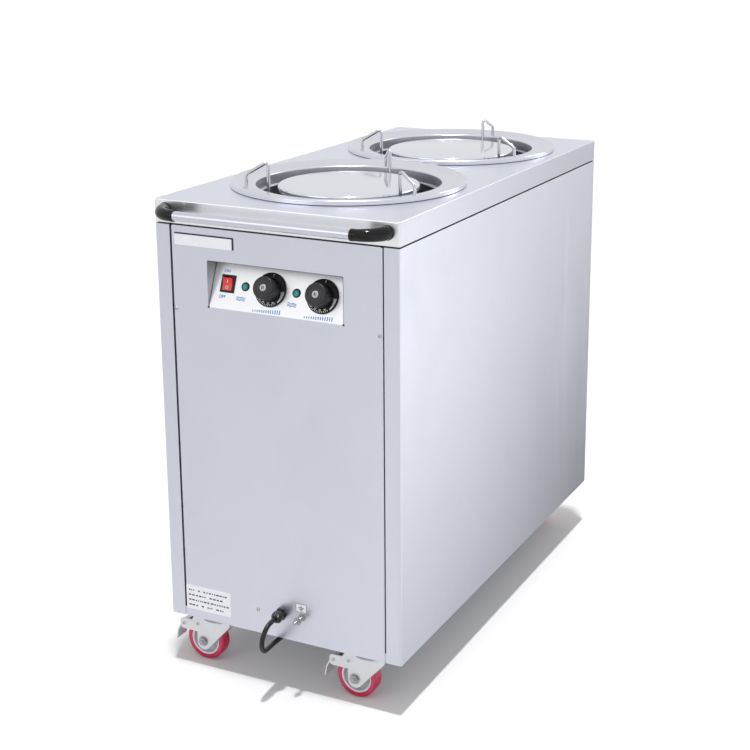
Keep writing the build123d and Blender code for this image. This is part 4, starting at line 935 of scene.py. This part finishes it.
def makeKnob(side, x):
    node, place = [f"heat_knob_{side}"], plateMatrix(x, controls["row"])
    edge, lift, cap, seat = knob["dial"], knob["lift"], knob["insert"], knob["top"] - knob["faceDish"]
    dialTop = lift + knob["thick"]
    dialLine = [
        (0, lift), (edge - 0.8, lift), (edge, lift + 0.8), (edge, dialTop - 1.0), (edge - 0.5, dialTop - 0.3),
        (edge - 1.4, dialTop), (0, dialTop),
    ]
    button = [
        (0, seat + 0.5), (cap - 1.9, seat + 0.5), (cap - 1.6, seat + 0.2), (cap - 1.3, seat + 0.2),
        (cap - 1.0, seat + 0.6), (cap - 0.4, seat + 0.6), (cap, seat - 0.1), (0, seat - 0.3),
    ]
    slots = [
        prismMesh("slot", rectangle(across - wide / 2, across + wide / 2, -tall / 2, tall / 2), 0.3)
        for across, wide, tall in knob["slots"]
    ]
    thick, back = knob["spindle"]
    marks, numbers = dialPrints()
    pieces = (
        ("dial", latheMesh("dial", dialLine, knob["dialSteps"]), "dialBlack", 0.0, node),
        ("grip", gripMesh(), "knobBlack", 0.0, node),
        ("capInsert", latheMesh("cap", button, 64), "studSteel", 0.0, ()),
        ("capMark", joinMeshes("slots", slots), "darkPrintAndShade", seat + 0.4, ()),
        ("spindle", latheMesh("spindle", rectangle(0, thick, back, lift), 32), "brightRod", 0.0, ()),
        ("heatBand", wedgeMesh(), "bandSilver", dialTop - scale["sunk"], ()),
        ("dialMarks", marks, "printWhite", dialTop - scale["sunk"], ()),
        ("dialNumbers", numbers, "printWhite", dialTop + scale["numberLift"], ()),
    )
    for label, mesh, look, out, replaced in pieces:
        makePiece(f"{label}_{side}", mesh, look, raised(place, out), f"knob_{side}", replaced)


for side, x in controls["lamps"].items():
    makeLamp(side, x)
for side, x in controls["knobs"].items():
    makeKnob(side, x)

# printing on the plate and the rocker, and painted shade at the window's edges

prints = {
    "face": 0.55, "lift": 0.05, "wordSize": 7.6, "switchWords": {"ON": (-103.0, 64.7), "OFF": (-105.0, 21.6)},
    "waves": ((-69.0, 21.6), (28.0, 22.7)), "waveRows": (-2.4, 0.0, 2.4), "wave": (17.0, 1.3, 1.15),
    "waveTurns": 2.0, "waveSteps": 36, "scales": ((-17.2, 7.0), (79.8, 7.4)), "bars": 13, "barHalf": 0.85,
    "barStart": -25.2, "barStep": 4.2, "barFoot": -3.2, "barTall": 3.0, "barGrowth": 0.36,
}
rockerSigns = {
    "bar": (-0.7, 0.7, -2.6, 2.6), "loop": (1.5, 2.7), "thick": 0.14, "offset": 5.2, "sunk": 0.05, "above": 30,
}
# sizes of the painted shade strips and hole discs at the window
window = {
    "half": 127.2, "foot": 670.0, "top": 749.0, "plateRun": 84.6, "joint": 0.8, "jointLift": 0.1, "edge": 0.55,
    "lap": (0.2, 0.1), "hole": 1.9, "holeSides": 20, "thick": 0.04, "lift": 0.02,
}


def waveLine():
    # a flat wavy ribbon, as on heater symbols
    (across, height, width), steps = prints["wave"], prints["waveSteps"]
    rows = []
    for step in range(steps + 1):
        along = -0.5 + step / steps
        rows.append((along * across, height * 0.5 * math.sin(2 * math.pi * prints["waveTurns"] * along)))
    return [(x, y + width / 2) for x, y in rows] + [(x, y - width / 2) for x, y in rows[::-1]]


def makePlatePrints():
    face, lift = prints["face"], prints["lift"]
    words = []
    for label, (x, up) in prints["switchWords"].items():
        words.append(moved(textMesh(label, prints["wordSize"], lift), plateMatrix(x, up, face + lift)))
    for x, up in prints["waves"]:
        for row in prints["waveRows"]:
            words.append(moved(prismMesh("wave", waveLine(), lift * 2), plateMatrix(x, up + row, face)))
    half, foot = prints["barHalf"], prints["barFoot"]
    for x, up in prints["scales"]:
        for step in range(prints["bars"]):
            top = prints["barTall"] + prints["barGrowth"] * step + foot
            bars = prismMesh("bar", rectangle(-half, half, foot, top), lift * 2)
            words.append(moved(bars, plateMatrix(x + prints["barStart"] + prints["barStep"] * step, up, face)))
    makePiece("platePrinting", joinMeshes("platePrinting", words), "printBlue")


def surfaceUnder(node, point, way):
    # where a line from the point meets a node's mesh, and which way that face looks
    mesh = nodes[node].data
    skin = BVHTree.FromPolygons([v.co for v in mesh.vertices], [p.vertices for p in mesh.polygons])
    return skin.ray_cast(point, way)[:2]


def makeRockerMarks():
    thick, offset = rockerSigns["thick"], rockerSigns["offset"]
    one = prismMesh("one", rectangle(*rockerSigns["bar"]), thick)
    zero = latheMesh("zero", rectangle(*rockerSigns["loop"], 0, thick), 40, closed=True)
    marks = []
    for mesh, up in ((one, offset), (zero, -offset)):
        start = plateMatrix(controls["switch"], controls["row"] + up, rockerSigns["above"]).translation
        spot, normal = surfaceUnder("switch_rocker", start, -plateOut)
        origin = spot - normal * rockerSigns["sunk"] * mm
        marks.append(moved(mesh, frameMatrix(origin, rightWay, normal.cross(rightWay), normal) @ inMillimetres))
    makePiece("rockerMarks", joinMeshes("rockerMarks", marks), "printWhite", None, "rocker")


def makeWindowShadeLines():
    # painted shade: dark strips in the joint beside the leaning plate and along the window's cut edges, and dark discs
    # over its two relief holes
    half, foot, top, edge = window["half"], window["foot"], window["top"], window["edge"]
    sideLap, topLap = window["lap"]
    joint = prismMesh("joint", rectangle(-half, window["joint"] - half, 0, window["plateRun"]), window["jointLift"])
    outlines = [
        rectangle(half - sideLap, half + edge, foot, top), rectangle(-half, half, top - topLap, top + edge),
        rectangle(-half - edge, -half, foot, top),
    ]
    hole = [around(window["hole"], turn) for turn in turnsOf(window["holeSides"])]
    outlines += [[(x + side * half, y + foot) for x, y, _ in hole] for side in (-1, 1)]
    front = frontMatrix(0, 0, window["lift"])
    cuts = [moved(prismMesh("cut", outline, window["thick"]), front) for outline in outlines]
    joined = joinMeshes("windowEdges", [moved(joint, plateMatrix(0, 0, prints["face"])), *cuts])
    makePiece("windowEdges", joined, "darkPrintAndShade")


makePlatePrints()
makeRockerMarks()
makeWindowShadeLines()
print("controls made")

# supply cord, its coil and its plug; places are measured from the front panel and the floor

cord = {"radius": 4.2, "length": 1.686, "bevelSteps": 5, "order": 3, "runSteps": 8}
coil = {
    "x": -14.0, "setback": 700.0, "radius": 50.0, "wander": (0.5, 2.3), "turns": 2.5, "pointsPerTurn": 16, "rest": 4.5,
}
tie = {"turns": (60.0, 205.0), "half": 6.0, "room": 1.0, "sag": 0.2, "rise": 0.6, "thin": (0.82, 0.955, 0.5)}
plugShape = {
    "radius": 16.0, "length": 40.0, "pinRadius": 2.4, "pinLength": 19.0, "pinSpacing": 19.0, "collar": 9.0,
    "ribs": 6, "ribStep": 3.2, "sleeve": -14.0, "sleeveRadius": (5.4, 0.55), "clip": (-2.6, 2.6, 22.0, 39.2),
    "clipSunk": 1.55, "clipThick": 1.0, "clipEase": 0.3,
}
cordRoute = (
    (-1.0, -24.0, 141.0), (-1.0, -41.1, 141.0), (-1.5, -53.4, 133.9), (-3.0, -60.5, 121.6), (-5.0, -60.5, 107.4),
    (-7.5, -53.4, 95.1), (-10.0, -41.1, 88.0), (-12.0, -24.0, 87.0), (-13.5, -1.0, 86.4), (-14.5, 34.0, 83.5),
    (-16.0, 76.0, 75.0), (-16.5, 118.0, 62.0), (-18.5, 158.0, 46.0), (-22.0, 198.0, 31.0), (-27.0, 240.0, 18.0),
    (-33.0, 286.0, 9.0), (-39.0, 335.0, 5.1), (-42.0, 386.0, 4.5), (-41.0, 438.0, 4.5), (-45.0, 491.0, 4.5),
    (-53.0, 545.0, 4.5), (-60.0, 598.0, 4.5), (-65.0, 649.0, 4.5), (-64.0, 700.0, 4.5),
)
cordTail = ((36.0, 691.6, 21.0), (36.0, 676.8, 21.0), (36.0, 656.5, 16.3), (36.0, 642.0, 16.3))


def cordSpot(x, y, z):
    return Vector((x * mm, frontY + y * mm, z * mm))


def coilPoints():
    # each turn lies on the one below: it climbs over the far half of the ring
    (wander, beat), points = coil["wander"], []
    for step in range(1, int(coil["turns"] * coil["pointsPerTurn"]) + 1):
        turn = step / coil["pointsPerTurn"]
        climb = math.floor(turn) + min(max((turn - math.floor(turn) - 0.5) * 2, 0.0), 1.0)
        x, y, _ = around(coil["radius"] + wander * math.sin(turn * beat), math.pi - 2 * math.pi * turn)
        points.append((coil["x"] + x, coil["setback"] + y, coil["rest"] + 2 * cord["radius"] * climb))
    return points


def curveLine(curve):
    # the curve's own line, as points, with its thickness taken off for a moment
    thickness, curve.bevel_depth = curve.bevel_depth, 0.0
    reader = addObject("cordLine", curve)
    line = plainMesh(reader)
    bpy.data.objects.remove(reader)
    curve.bevel_depth = thickness
    return [vertex.co.copy() for vertex in line.vertices]


def makePlug():
    length, radius, thin = plugShape["length"], plugShape["radius"], plugShape["pinRadius"]
    tip, neck = length + plugShape["pinLength"], length + plugShape["collar"]
    start, (size, growth) = plugShape["sleeve"], plugShape["sleeveRadius"]
    shell = [(0, start)]
    for rib in range(plugShape["ribs"]):
        foot, wide = start + rib * plugShape["ribStep"], size + rib * growth
        shell += [(wide, foot + 0.3), (wide + 0.2, foot + 0.7), (wide + 0.2, foot + 1.9)]
        shell += [(wide - 0.5, foot + 2.3), (wide - 0.5, foot + 3.0)]
    shell += [
        (9.2, 5.5), (11.5, 8.5), (13.2, 13.0), (14.0, 18.0), (14.2, 24.0), (14.6, 28.0), (radius - 0.4, 31.0),
        (radius, 32.0), (radius, length - 1.2), (radius - 1.0, length), (0, length),
    ]
    pinLine = [
        (0, length - 4), (thin, length - 4), (thin, tip - 1.6), (thin - 0.5, tip - 0.6), (thin - 1.4, tip), (0, tip),
    ]
    collarLine = [(0, length - 3), (thin + 0.05, length - 3), (thin + 0.05, neck), (thin - 0.3, neck), (0, neck)]
    collar = latheMesh("collar", collarLine, 32)
    spots = [(side * plugShape["pinSpacing"] / 2, 0, 0) for side in (-1, 1)]
    clips = []
    for side in (1, -1):
        clip = prismMesh("clip", rectangle(*plugShape["clip"]), plugShape["clipThick"], plugShape["clipEase"])
        seat = Vector((0, side * (radius - plugShape["clipSunk"]), 0))
        clips.append(moved(clip, frameMatrix(seat, -side * rightWay, upWay, -side * outWay)))
    pieces = (
        ("plugBody", latheMesh("plugBody", shell, 72), "cordAndShadeBlack"),
        ("plugPins", growCopies("scatter", "brightRod", latheMesh("pin", pinLine, 32), {}, spots), "brightRod"),
        ("plugCollars", growCopies("scatter", "cordAndShadeBlack", collar, {}, spots), "cordAndShadeBlack"),
        ("plugEarthClips", joinMeshes("clips", clips), "brightRod"),
    )
    place = frameMatrix(cordSpot(*cordTail[-1]), rightWay, upWay, outWay) @ inMillimetres
    return [makePiece(name, mesh, look, place, "cabinet", ["plug"]) for name, mesh, look in pieces]


def makeCoilTies():
    # two straps round the turns keep the put-away length together
    low, high = coil["rest"] - cord["radius"] + tie["sag"], coil["rest"] + cord["radius"] * 5 + tie["rise"]
    half, wide, (narrow, short, lift) = cord["radius"] + tie["room"], tie["half"], tie["thin"]
    outline = [
        (-half, low), (half, low), (half + 0.6, low + 2), (half + 0.6, high - 2), (half - 1.5, high),
        (1.5 - half, high), (-half - 0.6, high - 2), (-half - 0.6, low + 2),
    ]
    inside = [(x * narrow, low + (y - low) * short + lift) for x, y in outline]
    rows = ((-wide, outline), (wide, outline), (wide, inside), (-wide, inside))
    ties = []
    for turn in tie["turns"]:
        strap = skinMesh("tie", [[(x, across, y) for x, y in line] for across, line in rows], closed=True)
        angle = math.radians(turn)
        x, y, _ = around(coil["radius"], angle)
        place = Matrix.Translation(cordSpot(coil["x"] + x, coil["setback"] + y, 0)) @ Matrix.Rotation(angle, 4, "Z")
        ties.append(moved(strap, place @ inMillimetres))
    return makePiece("coilTies", joinMeshes("ties", ties), "printGrey")


def makeCord():
    run = [cordSpot(*point) for point in (*cordRoute, *coilPoints(), *cordTail)]
    curve = bpy.data.curves.new("supplyCord", "CURVE")
    curve.dimensions = "3D"
    spline = curve.splines.new("NURBS")
    spline.points.add(len(run) - 1)
    for point, place in zip(spline.points, run):
        point.co = (*place, 1)
    spline.order_u, spline.use_endpoint_u, spline.resolution_u = cord["order"], True, cord["runSteps"]
    curve.bevel_depth, curve.bevel_resolution, curve.use_fill_caps = cord["radius"] * mm, cord["bevelSteps"], True
    line = curveLine(curve)
    print("cord length", round(sum((b - a).length for a, b in zip(line, line[1:])), 4), "points", len(run))
    lead = addObject("supplyCordLine", curve)
    curve.materials.append(finish["cordAndShadeBlack"])
    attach(lead, "cabinet")
    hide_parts("supply_cord", "cord_coil")
    makePlug() + [makeCoilTies()]


makeCord()
print("cord made")

# cable gland, earth stud and screws

gland = {
    "x": -1.0, "z": 141.0, "reach": 24.0, "body": 9.0, "radius": 10.2, "thread": 7.8, "locknut": (-6.0, 4.5),
    "ribs": 18, "steps": 216, "mouth": (4.6, 4.5), "hexShare": 0.52,
    "fingers": ((0.56, 0.3, 0.0), (0.60, 0.75, 0.8), (0.74, 1.5, 0.8), (0.86, 2.7, 0.7), (0.93, 3.7, 0.2)),
}
stud = {
    "x": 40.0, "z": 143.0, "reach": 29.0, "radius": 3.0, "inside": -1.4, "washers": (0.02, 15.5), "nuts": (1.5, 17.0),
    "pitch": 1.0, "threadDepth": 0.32, "levelsPerTurn": 6, "taper": 1.2, "steps": 36,
}
screws = {
    "panel": {"head": 3.8, "radius": 2.0, "length": 15.0}, "low": {"head": 3.8, "radius": 2.0, "length": 4.5},
    "handle": {"head": 5.0, "radius": 3.0, "length": 14.5}, "panelX": 192.0, "panelZ": 660.0,
    "lowPlace": (-48.0, 138.6), "handleX": 205.5, "handleZ": 828.0, "handleSeat": 4.5,
}


def hexNut(low, radius, height, ease=0.4):
    flat, side = radius * math.cos(math.pi / 6), hexAt(radius, radius * 0.985)
    levels = [
        (low, roundAt(radius * 0.5)), (low, roundAt(flat * 0.98)), (low + ease, side),
        (low + height - ease, side), (low + height, roundAt(flat * 0.96)), (low + height, roundAt(radius * 0.5)),
    ]
    return turnedMesh("nut", levels, 96)


def threadAt(height):
    # a true thread: the ridge climbs one pitch a turn and fades out at the tip
    fade = min(1.0, (stud["reach"] - height) / stud["taper"])

    def reach(turn):
        phase = (height / stud["pitch"] - turn / (2 * math.pi)) % 1.0
        return stud["radius"] - stud["threadDepth"] * (1 - abs(2 * phase - 1)) - 0.5 * (1 - fade)
    return reach


def makeGland():
    place, size = frontMatrix(gland["x"], gland["z"]), gland["radius"]
    reach, foot, thread, (outer, inner) = gland["reach"], gland["body"], gland["thread"], gland["mouth"]
    dome, side = reach - foot, hexAt(size + 0.6, size + 0.45)
    body = joinMeshes("glandBody", [
        hexNut(0.02, size + 1.2, foot / 2, 0.5),
        latheMesh("neck", [(0, 4), (size - 1.5, 4), (size - 1.5, foot + 0.4), (0, foot + 0.4)], 64),
        latheMesh("shank", [(0, -foot), (thread, -foot), (thread, 0.5), (0, 0.5)], 48),
        hexNut(gland["locknut"][0], size + 1.2, gland["locknut"][1]),
    ])
    makePiece("glandBody", body, "glandBlack", place, "cabinet", ["cable_gland"])
    levels = [
        (foot + 0.15, roundAt(size - 0.8)), (foot + 0.15, roundAt(size - 0.2)), (foot + 0.9, side),
        (foot + dome * gland["hexShare"], side),
    ]
    for share, inset, depth in gland["fingers"]:
        levels.append((foot + dome * share, ribbedAt(size - inset, gland["ribs"], depth)))
    levels += [
        (reach - 0.2, roundAt(size - 4.5)), (reach, roundAt(size - 5.0)), (reach, roundAt(outer)),
        (reach - 2.0, roundAt(inner)),
    ]
    nut = turnedMesh("glandNut", levels, gland["steps"])
    makePiece("glandNut", nut, "glandBlack", place, "cabinet", ["cable_gland"])


def makeStud():
    radius, low, high = stud["radius"], stud["inside"], stud["reach"]
    pieces = []
    for foot in stud["washers"]:
        section = [(2.9, 0), (6.6, 0), (7.0, 0.3), (7.0, 1.2), (6.6, 1.5), (2.9, 1.5)]
        pieces.append(latheMesh("washer", [(across, foot + up) for across, up in section], 64, closed=True))
    pieces += [hexNut(foot, 2 * radius - 0.2, 5.0) for foot in stud["nuts"]]
    count = int((high - low) / stud["pitch"] * stud["levelsPerTurn"])
    heights = [low + (high - low) * level / count for level in range(count + 1)]
    pieces.append(turnedMesh("thread", [(height, threadAt(height)) for height in heights], stud["steps"]))
    pieces.append(hexNut(-5.5, 2 * radius, 4.0))
    place = frontMatrix(stud["x"], stud["z"])
    makePiece("earthStud", joinMeshes("earthStud", pieces), "studSteel", place, "cabinet", ["earth_stud"], 28)


def socketScrew(head, radius, length):
    # button head with a hexagon socket: rows are (share of the rise, share of the head)
    rise = 0.9 * radius
    levels = [
        (-length, roundAt(radius * 0.6)), (0.8 - length, roundAt(radius)), (0.02, roundAt(radius)),
        (0.02, roundAt(head)),
    ]
    for high, wide in ((0.35, 1.0), (0.75, 0.86), (0.97, 0.62), (1.0, 0.5)):
        levels.append((rise * high, roundAt(head * wide)))
    levels += [(rise, hexAt(head * 0.42)), (rise * 0.25, hexAt(head * 0.40))]
    return turnedMesh("screw", levels, 72)


def makeScrews():
    meshes = []
    for x in (-screws["panelX"], screws["panelX"]):
        for place in (frontMatrix(x, screws["panelZ"]), rearMatrix(x, backY, screws["panelZ"])):
            meshes.append(moved(socketScrew(**screws["panel"]), place))
    meshes.append(moved(socketScrew(**screws["low"]), frontMatrix(*screws["lowPlace"])))
    for x in (-screws["handleX"], screws["handleX"]):
        place = rearMatrix(x, frontY + screws["handleSeat"] * mm, screws["handleZ"])
        meshes.append(moved(socketScrew(**screws["handle"]), place))
    joined = joinMeshes("fixingScrews", meshes)
    makePiece("fixingScrews", joined, "fastenerSteel", None, "cabinet", ["fixing_screws"], 25)


makeGland()
makeStud()
makeScrews()
print("gland, stud and screws made")

# caster wheels, axle ends and rivets

wheel = {
    "radius": 37.5, "half": 12.5, "inner": 28.5, "height": 37.5, "steps": 144, "crown": (2.5, 3.0),
    "treadBends": (1.2, 3.0, 3.0, 1.2), "boss": 14.7, "bossRadius": 10.0, "bore": 4.05, "web": 3.0, "rimBand": 3.5,
    "spokes": 8, "spoke": (-8.2, 8.2, -1.0, 1.0), "spokeThick": 7.2, "spokeCircle": 18.0,
}
axle = {"cheek": 17.5, "bore": 3.5, "washer": 9.4, "lift": 1.3, "nut": 7.5, "nutHeight": 6.0, "bolt": 4.1, "end": 8.6}
rivet = {"radius": 3.5, "rise": 1.7, "places": ((-41.5, 26.0), (-11.7, 30.6))}


def wheelSpot(name):
    node = f"wheel_hub_{name}" if "front" in name else f"wheel_{name}"
    centre = middleOf(node)
    centre.z = wheel["height"] * mm
    return node, centre


def makeWheel(name):
    outer, half, inner, (shoulder, ease) = wheel["radius"], wheel["half"], wheel["inner"], wheel["crown"]
    treadLine = roundedLine((
        (inner, half), (outer - shoulder, half), (outer, half - ease), (outer, ease - half),
        (outer - shoulder, -half), (inner, -half),
    ), wheel["treadBends"], 6)
    rim, boss, web, out = inner - 0.02, wheel["bossRadius"], wheel["web"], wheel["boss"]
    side = [
        (wheel["bore"], out), (boss - 1.5, out), (boss - 0.7, out - 0.5), (boss, out - 1.6), (boss + 0.5, 9.0),
        (boss + 1.2, web + 2.6), (boss + 2.6, web + 0.9), (boss + 4.6, web), (rim - 7.5, web), (rim - 5.2, web + 0.8),
        (rim - 4.0, web + 2.4), (rim - 3.4, half - 2.4), (rim - 2.9, half - 1.3), (rim - 2.3, half - 0.9),
        (rim - 0.7, half - 0.9), (rim, half - 1.3),
    ]
    hubLine = side + [(radius, -height) for radius, height in side[::-1]]
    node, centre = wheelSpot(name)
    place = Matrix.Translation(centre) @ Matrix.Rotation(math.pi / 2, 4, "X") @ inMillimetres
    treadNode = node.replace("hub", "tread")
    tread = latheMesh("tread", treadLine, wheel["steps"], closed=True)
    makePiece(f"tread_{name}", tread, "treadRed", place, f"wheel_{name}", [treadNode], 40)
    spoke = prismMesh("spoke", rectangle(*wheel["spoke"]), wheel["spokeThick"], 0.5)
    spokes = copiesOnRing(spoke, wheel["spokes"], wheel["spokeCircle"], 0.0, 2 * math.pi / wheel["spokes"], "hubGrey")
    moved(spokes, Matrix.Translation((0, 0, -wheel["spokeThick"] / 2)))
    hub = joinMeshes("hub", [latheMesh("hub", hubLine, wheel["steps"], closed=True), spokes])
    makePiece(f"hub_{name}", hub, "hubGrey", None, f"wheel_{name}", [node], 40)
    hub.materials.append(finish["rimWhite"])
    for face in hub.polygons:
        face.material_index = int(face.center.xy.length > rim - wheel["rimBand"])
    moved(hub, place)


def makeAxleEnds(name):
    # washer, nut and bolt end on both cheeks of a fork, and the arm rivets of a braked one
    wide, lift, bolt, end, bore = axle["washer"], axle["lift"], axle["bolt"], axle["end"], axle["bore"]
    collar = [(bore, 0.02), (wide, 0.02), (wide, 1.0), (wide - 0.3, lift), (bore, lift)]
    tip = [(0, -1.0), (bolt, -1.0), (bolt, end - 0.8), (bolt - 0.8, end), (0, end)]
    dome = domeLine(rivet["radius"], rivet["rise"], 6) + [(rivet["radius"], -1.0), (0, -1.0)]
    centre = wheelSpot(name)[1]
    ends = []
    for side in (-1, 1):
        cheek = centre + Vector((0, side * axle["cheek"] * mm, 0))
        parts = [
            latheMesh("collar", collar, 48, closed=True), hexNut(lift, axle["nut"], axle["nutHeight"] - lift),
            latheMesh("bolt", tip, 36),
        ]
        if "front" in name:
            spots = [(-side * x, z, 0) for x, z in rivet["places"]]
            parts.append(growCopies("scatter", "studSteel", latheMesh("rivet", dome, 28), {}, spots))
        place = frameMatrix(cheek, -side * rightWay, upWay, -side * outWay) @ inMillimetres
        ends.append(moved(joinMeshes("end", parts), place))
    makePiece(f"axleEnds_{name}", joinMeshes("axleEnds", ends), "studSteel", None, f"swivel_{name}", [], 30)


for makeOne in (makeWheel, makeAxleEnds):
    for name in casterNames:
        makeOne(name)
print("wheels made")

# plates and stickers

stickers = {
    "seed": 7, "rows": (-114.0, -122.0, -113.0, -119.0), "rowStart": (-191.0, 146.5), "rowStep": 9.4,
    "dash": (1.8, 6.5), "gap": (1.3, 2.8), "wordGap": (0.12, 6.0), "dashHalf": 1.3, "line": 0.6,
    "earthMark": ((0.6, 9.4, 13.2), (5.2, 8.2, 9.6), (3.4, 5.6, 7.0), (1.6, 3.0, 4.4)), "lift": 0.03, "ease": 0.05,
    "dashSheet": (0.3, 0.3), "lineSheet": (0.26, 0.25),
}
badge = {"x": (-190.0, -75.0), "z": (771.0, 792.0), "thick": 0.6, "corner": 1.0}
badgeFace = {"x": (-190.0, -78.2), "z": (771.0, 789.4), "thick": 0.72, "corner": 1.0}
rating = {"x": (-196.0, -104.0), "z": (110.0, 156.0), "thick": 0.25, "corner": 1.5}
earth = {"x": (27.4, 48.3), "z": (151.0, 167.0), "thick": 0.2, "corner": 0.8}


def sheetOn(x, z, thick, corner):
    # a thin plate lying on the front face
    middle = ((x[0] + x[1]) / 2, z[0])
    square = rectangle(*x, *z)
    outline = roundedLine([middle, *square[1:], square[0], middle], corner, 5)[:-1]
    return moved(prismMesh("sheet", outline, thick, stickers["ease"], 1), frontMatrix(0, 0, stickers["lift"]))


def makeStickers():
    pick, rows = random.Random(stickers["seed"]), []
    left, foot = stickers["rowStart"]
    half, (chance, wordGap) = stickers["dashHalf"], stickers["wordGap"]
    for row, end in enumerate(stickers["rows"]):
        x, z = left, foot - row * stickers["rowStep"]
        while x < end:
            reach = pick.uniform(*stickers["dash"])
            rows.append(sheetOn((x, x + reach), (z - half, z + half), *stickers["dashSheet"]))
            x += reach + pick.uniform(*stickers["gap"]) + (wordGap if pick.random() < chance else 0.0)
    (left, right), (foot, top), line = earth["x"], earth["z"], stickers["line"]
    strips = [
        ((left, right), (foot, foot + line)), ((left, right), (top - line, top)), ((left, left + line), (foot, top)),
        ((right - line, right), (foot, top)),
    ]
    middle = (left + right) / 2
    for reach, low, high in stickers["earthMark"]:
        strips.append(((middle - reach, middle + reach), (foot + low, foot + high)))
    lines = [sheetOn(x, z, *stickers["lineSheet"]) for x, z in strips]
    makePiece("blankBadge", sheetOn(**badge), "printNavy")
    makePiece("blankBadgeFace", sheetOn(**badgeFace), "labelWhite")
    makePiece("ratingLabel", sheetOn(**rating), "labelWhite")
    makePiece("ratingPrint", joinMeshes("ratingPrint", rows), "darkPrintAndShade")
    makePiece("earthSticker", sheetOn(**earth), "labelWhite")
    makePiece("earthStickerPrint", joinMeshes("earthStickerPrint", lines), "darkPrintAndShade")


makeStickers()
print("stickers made")
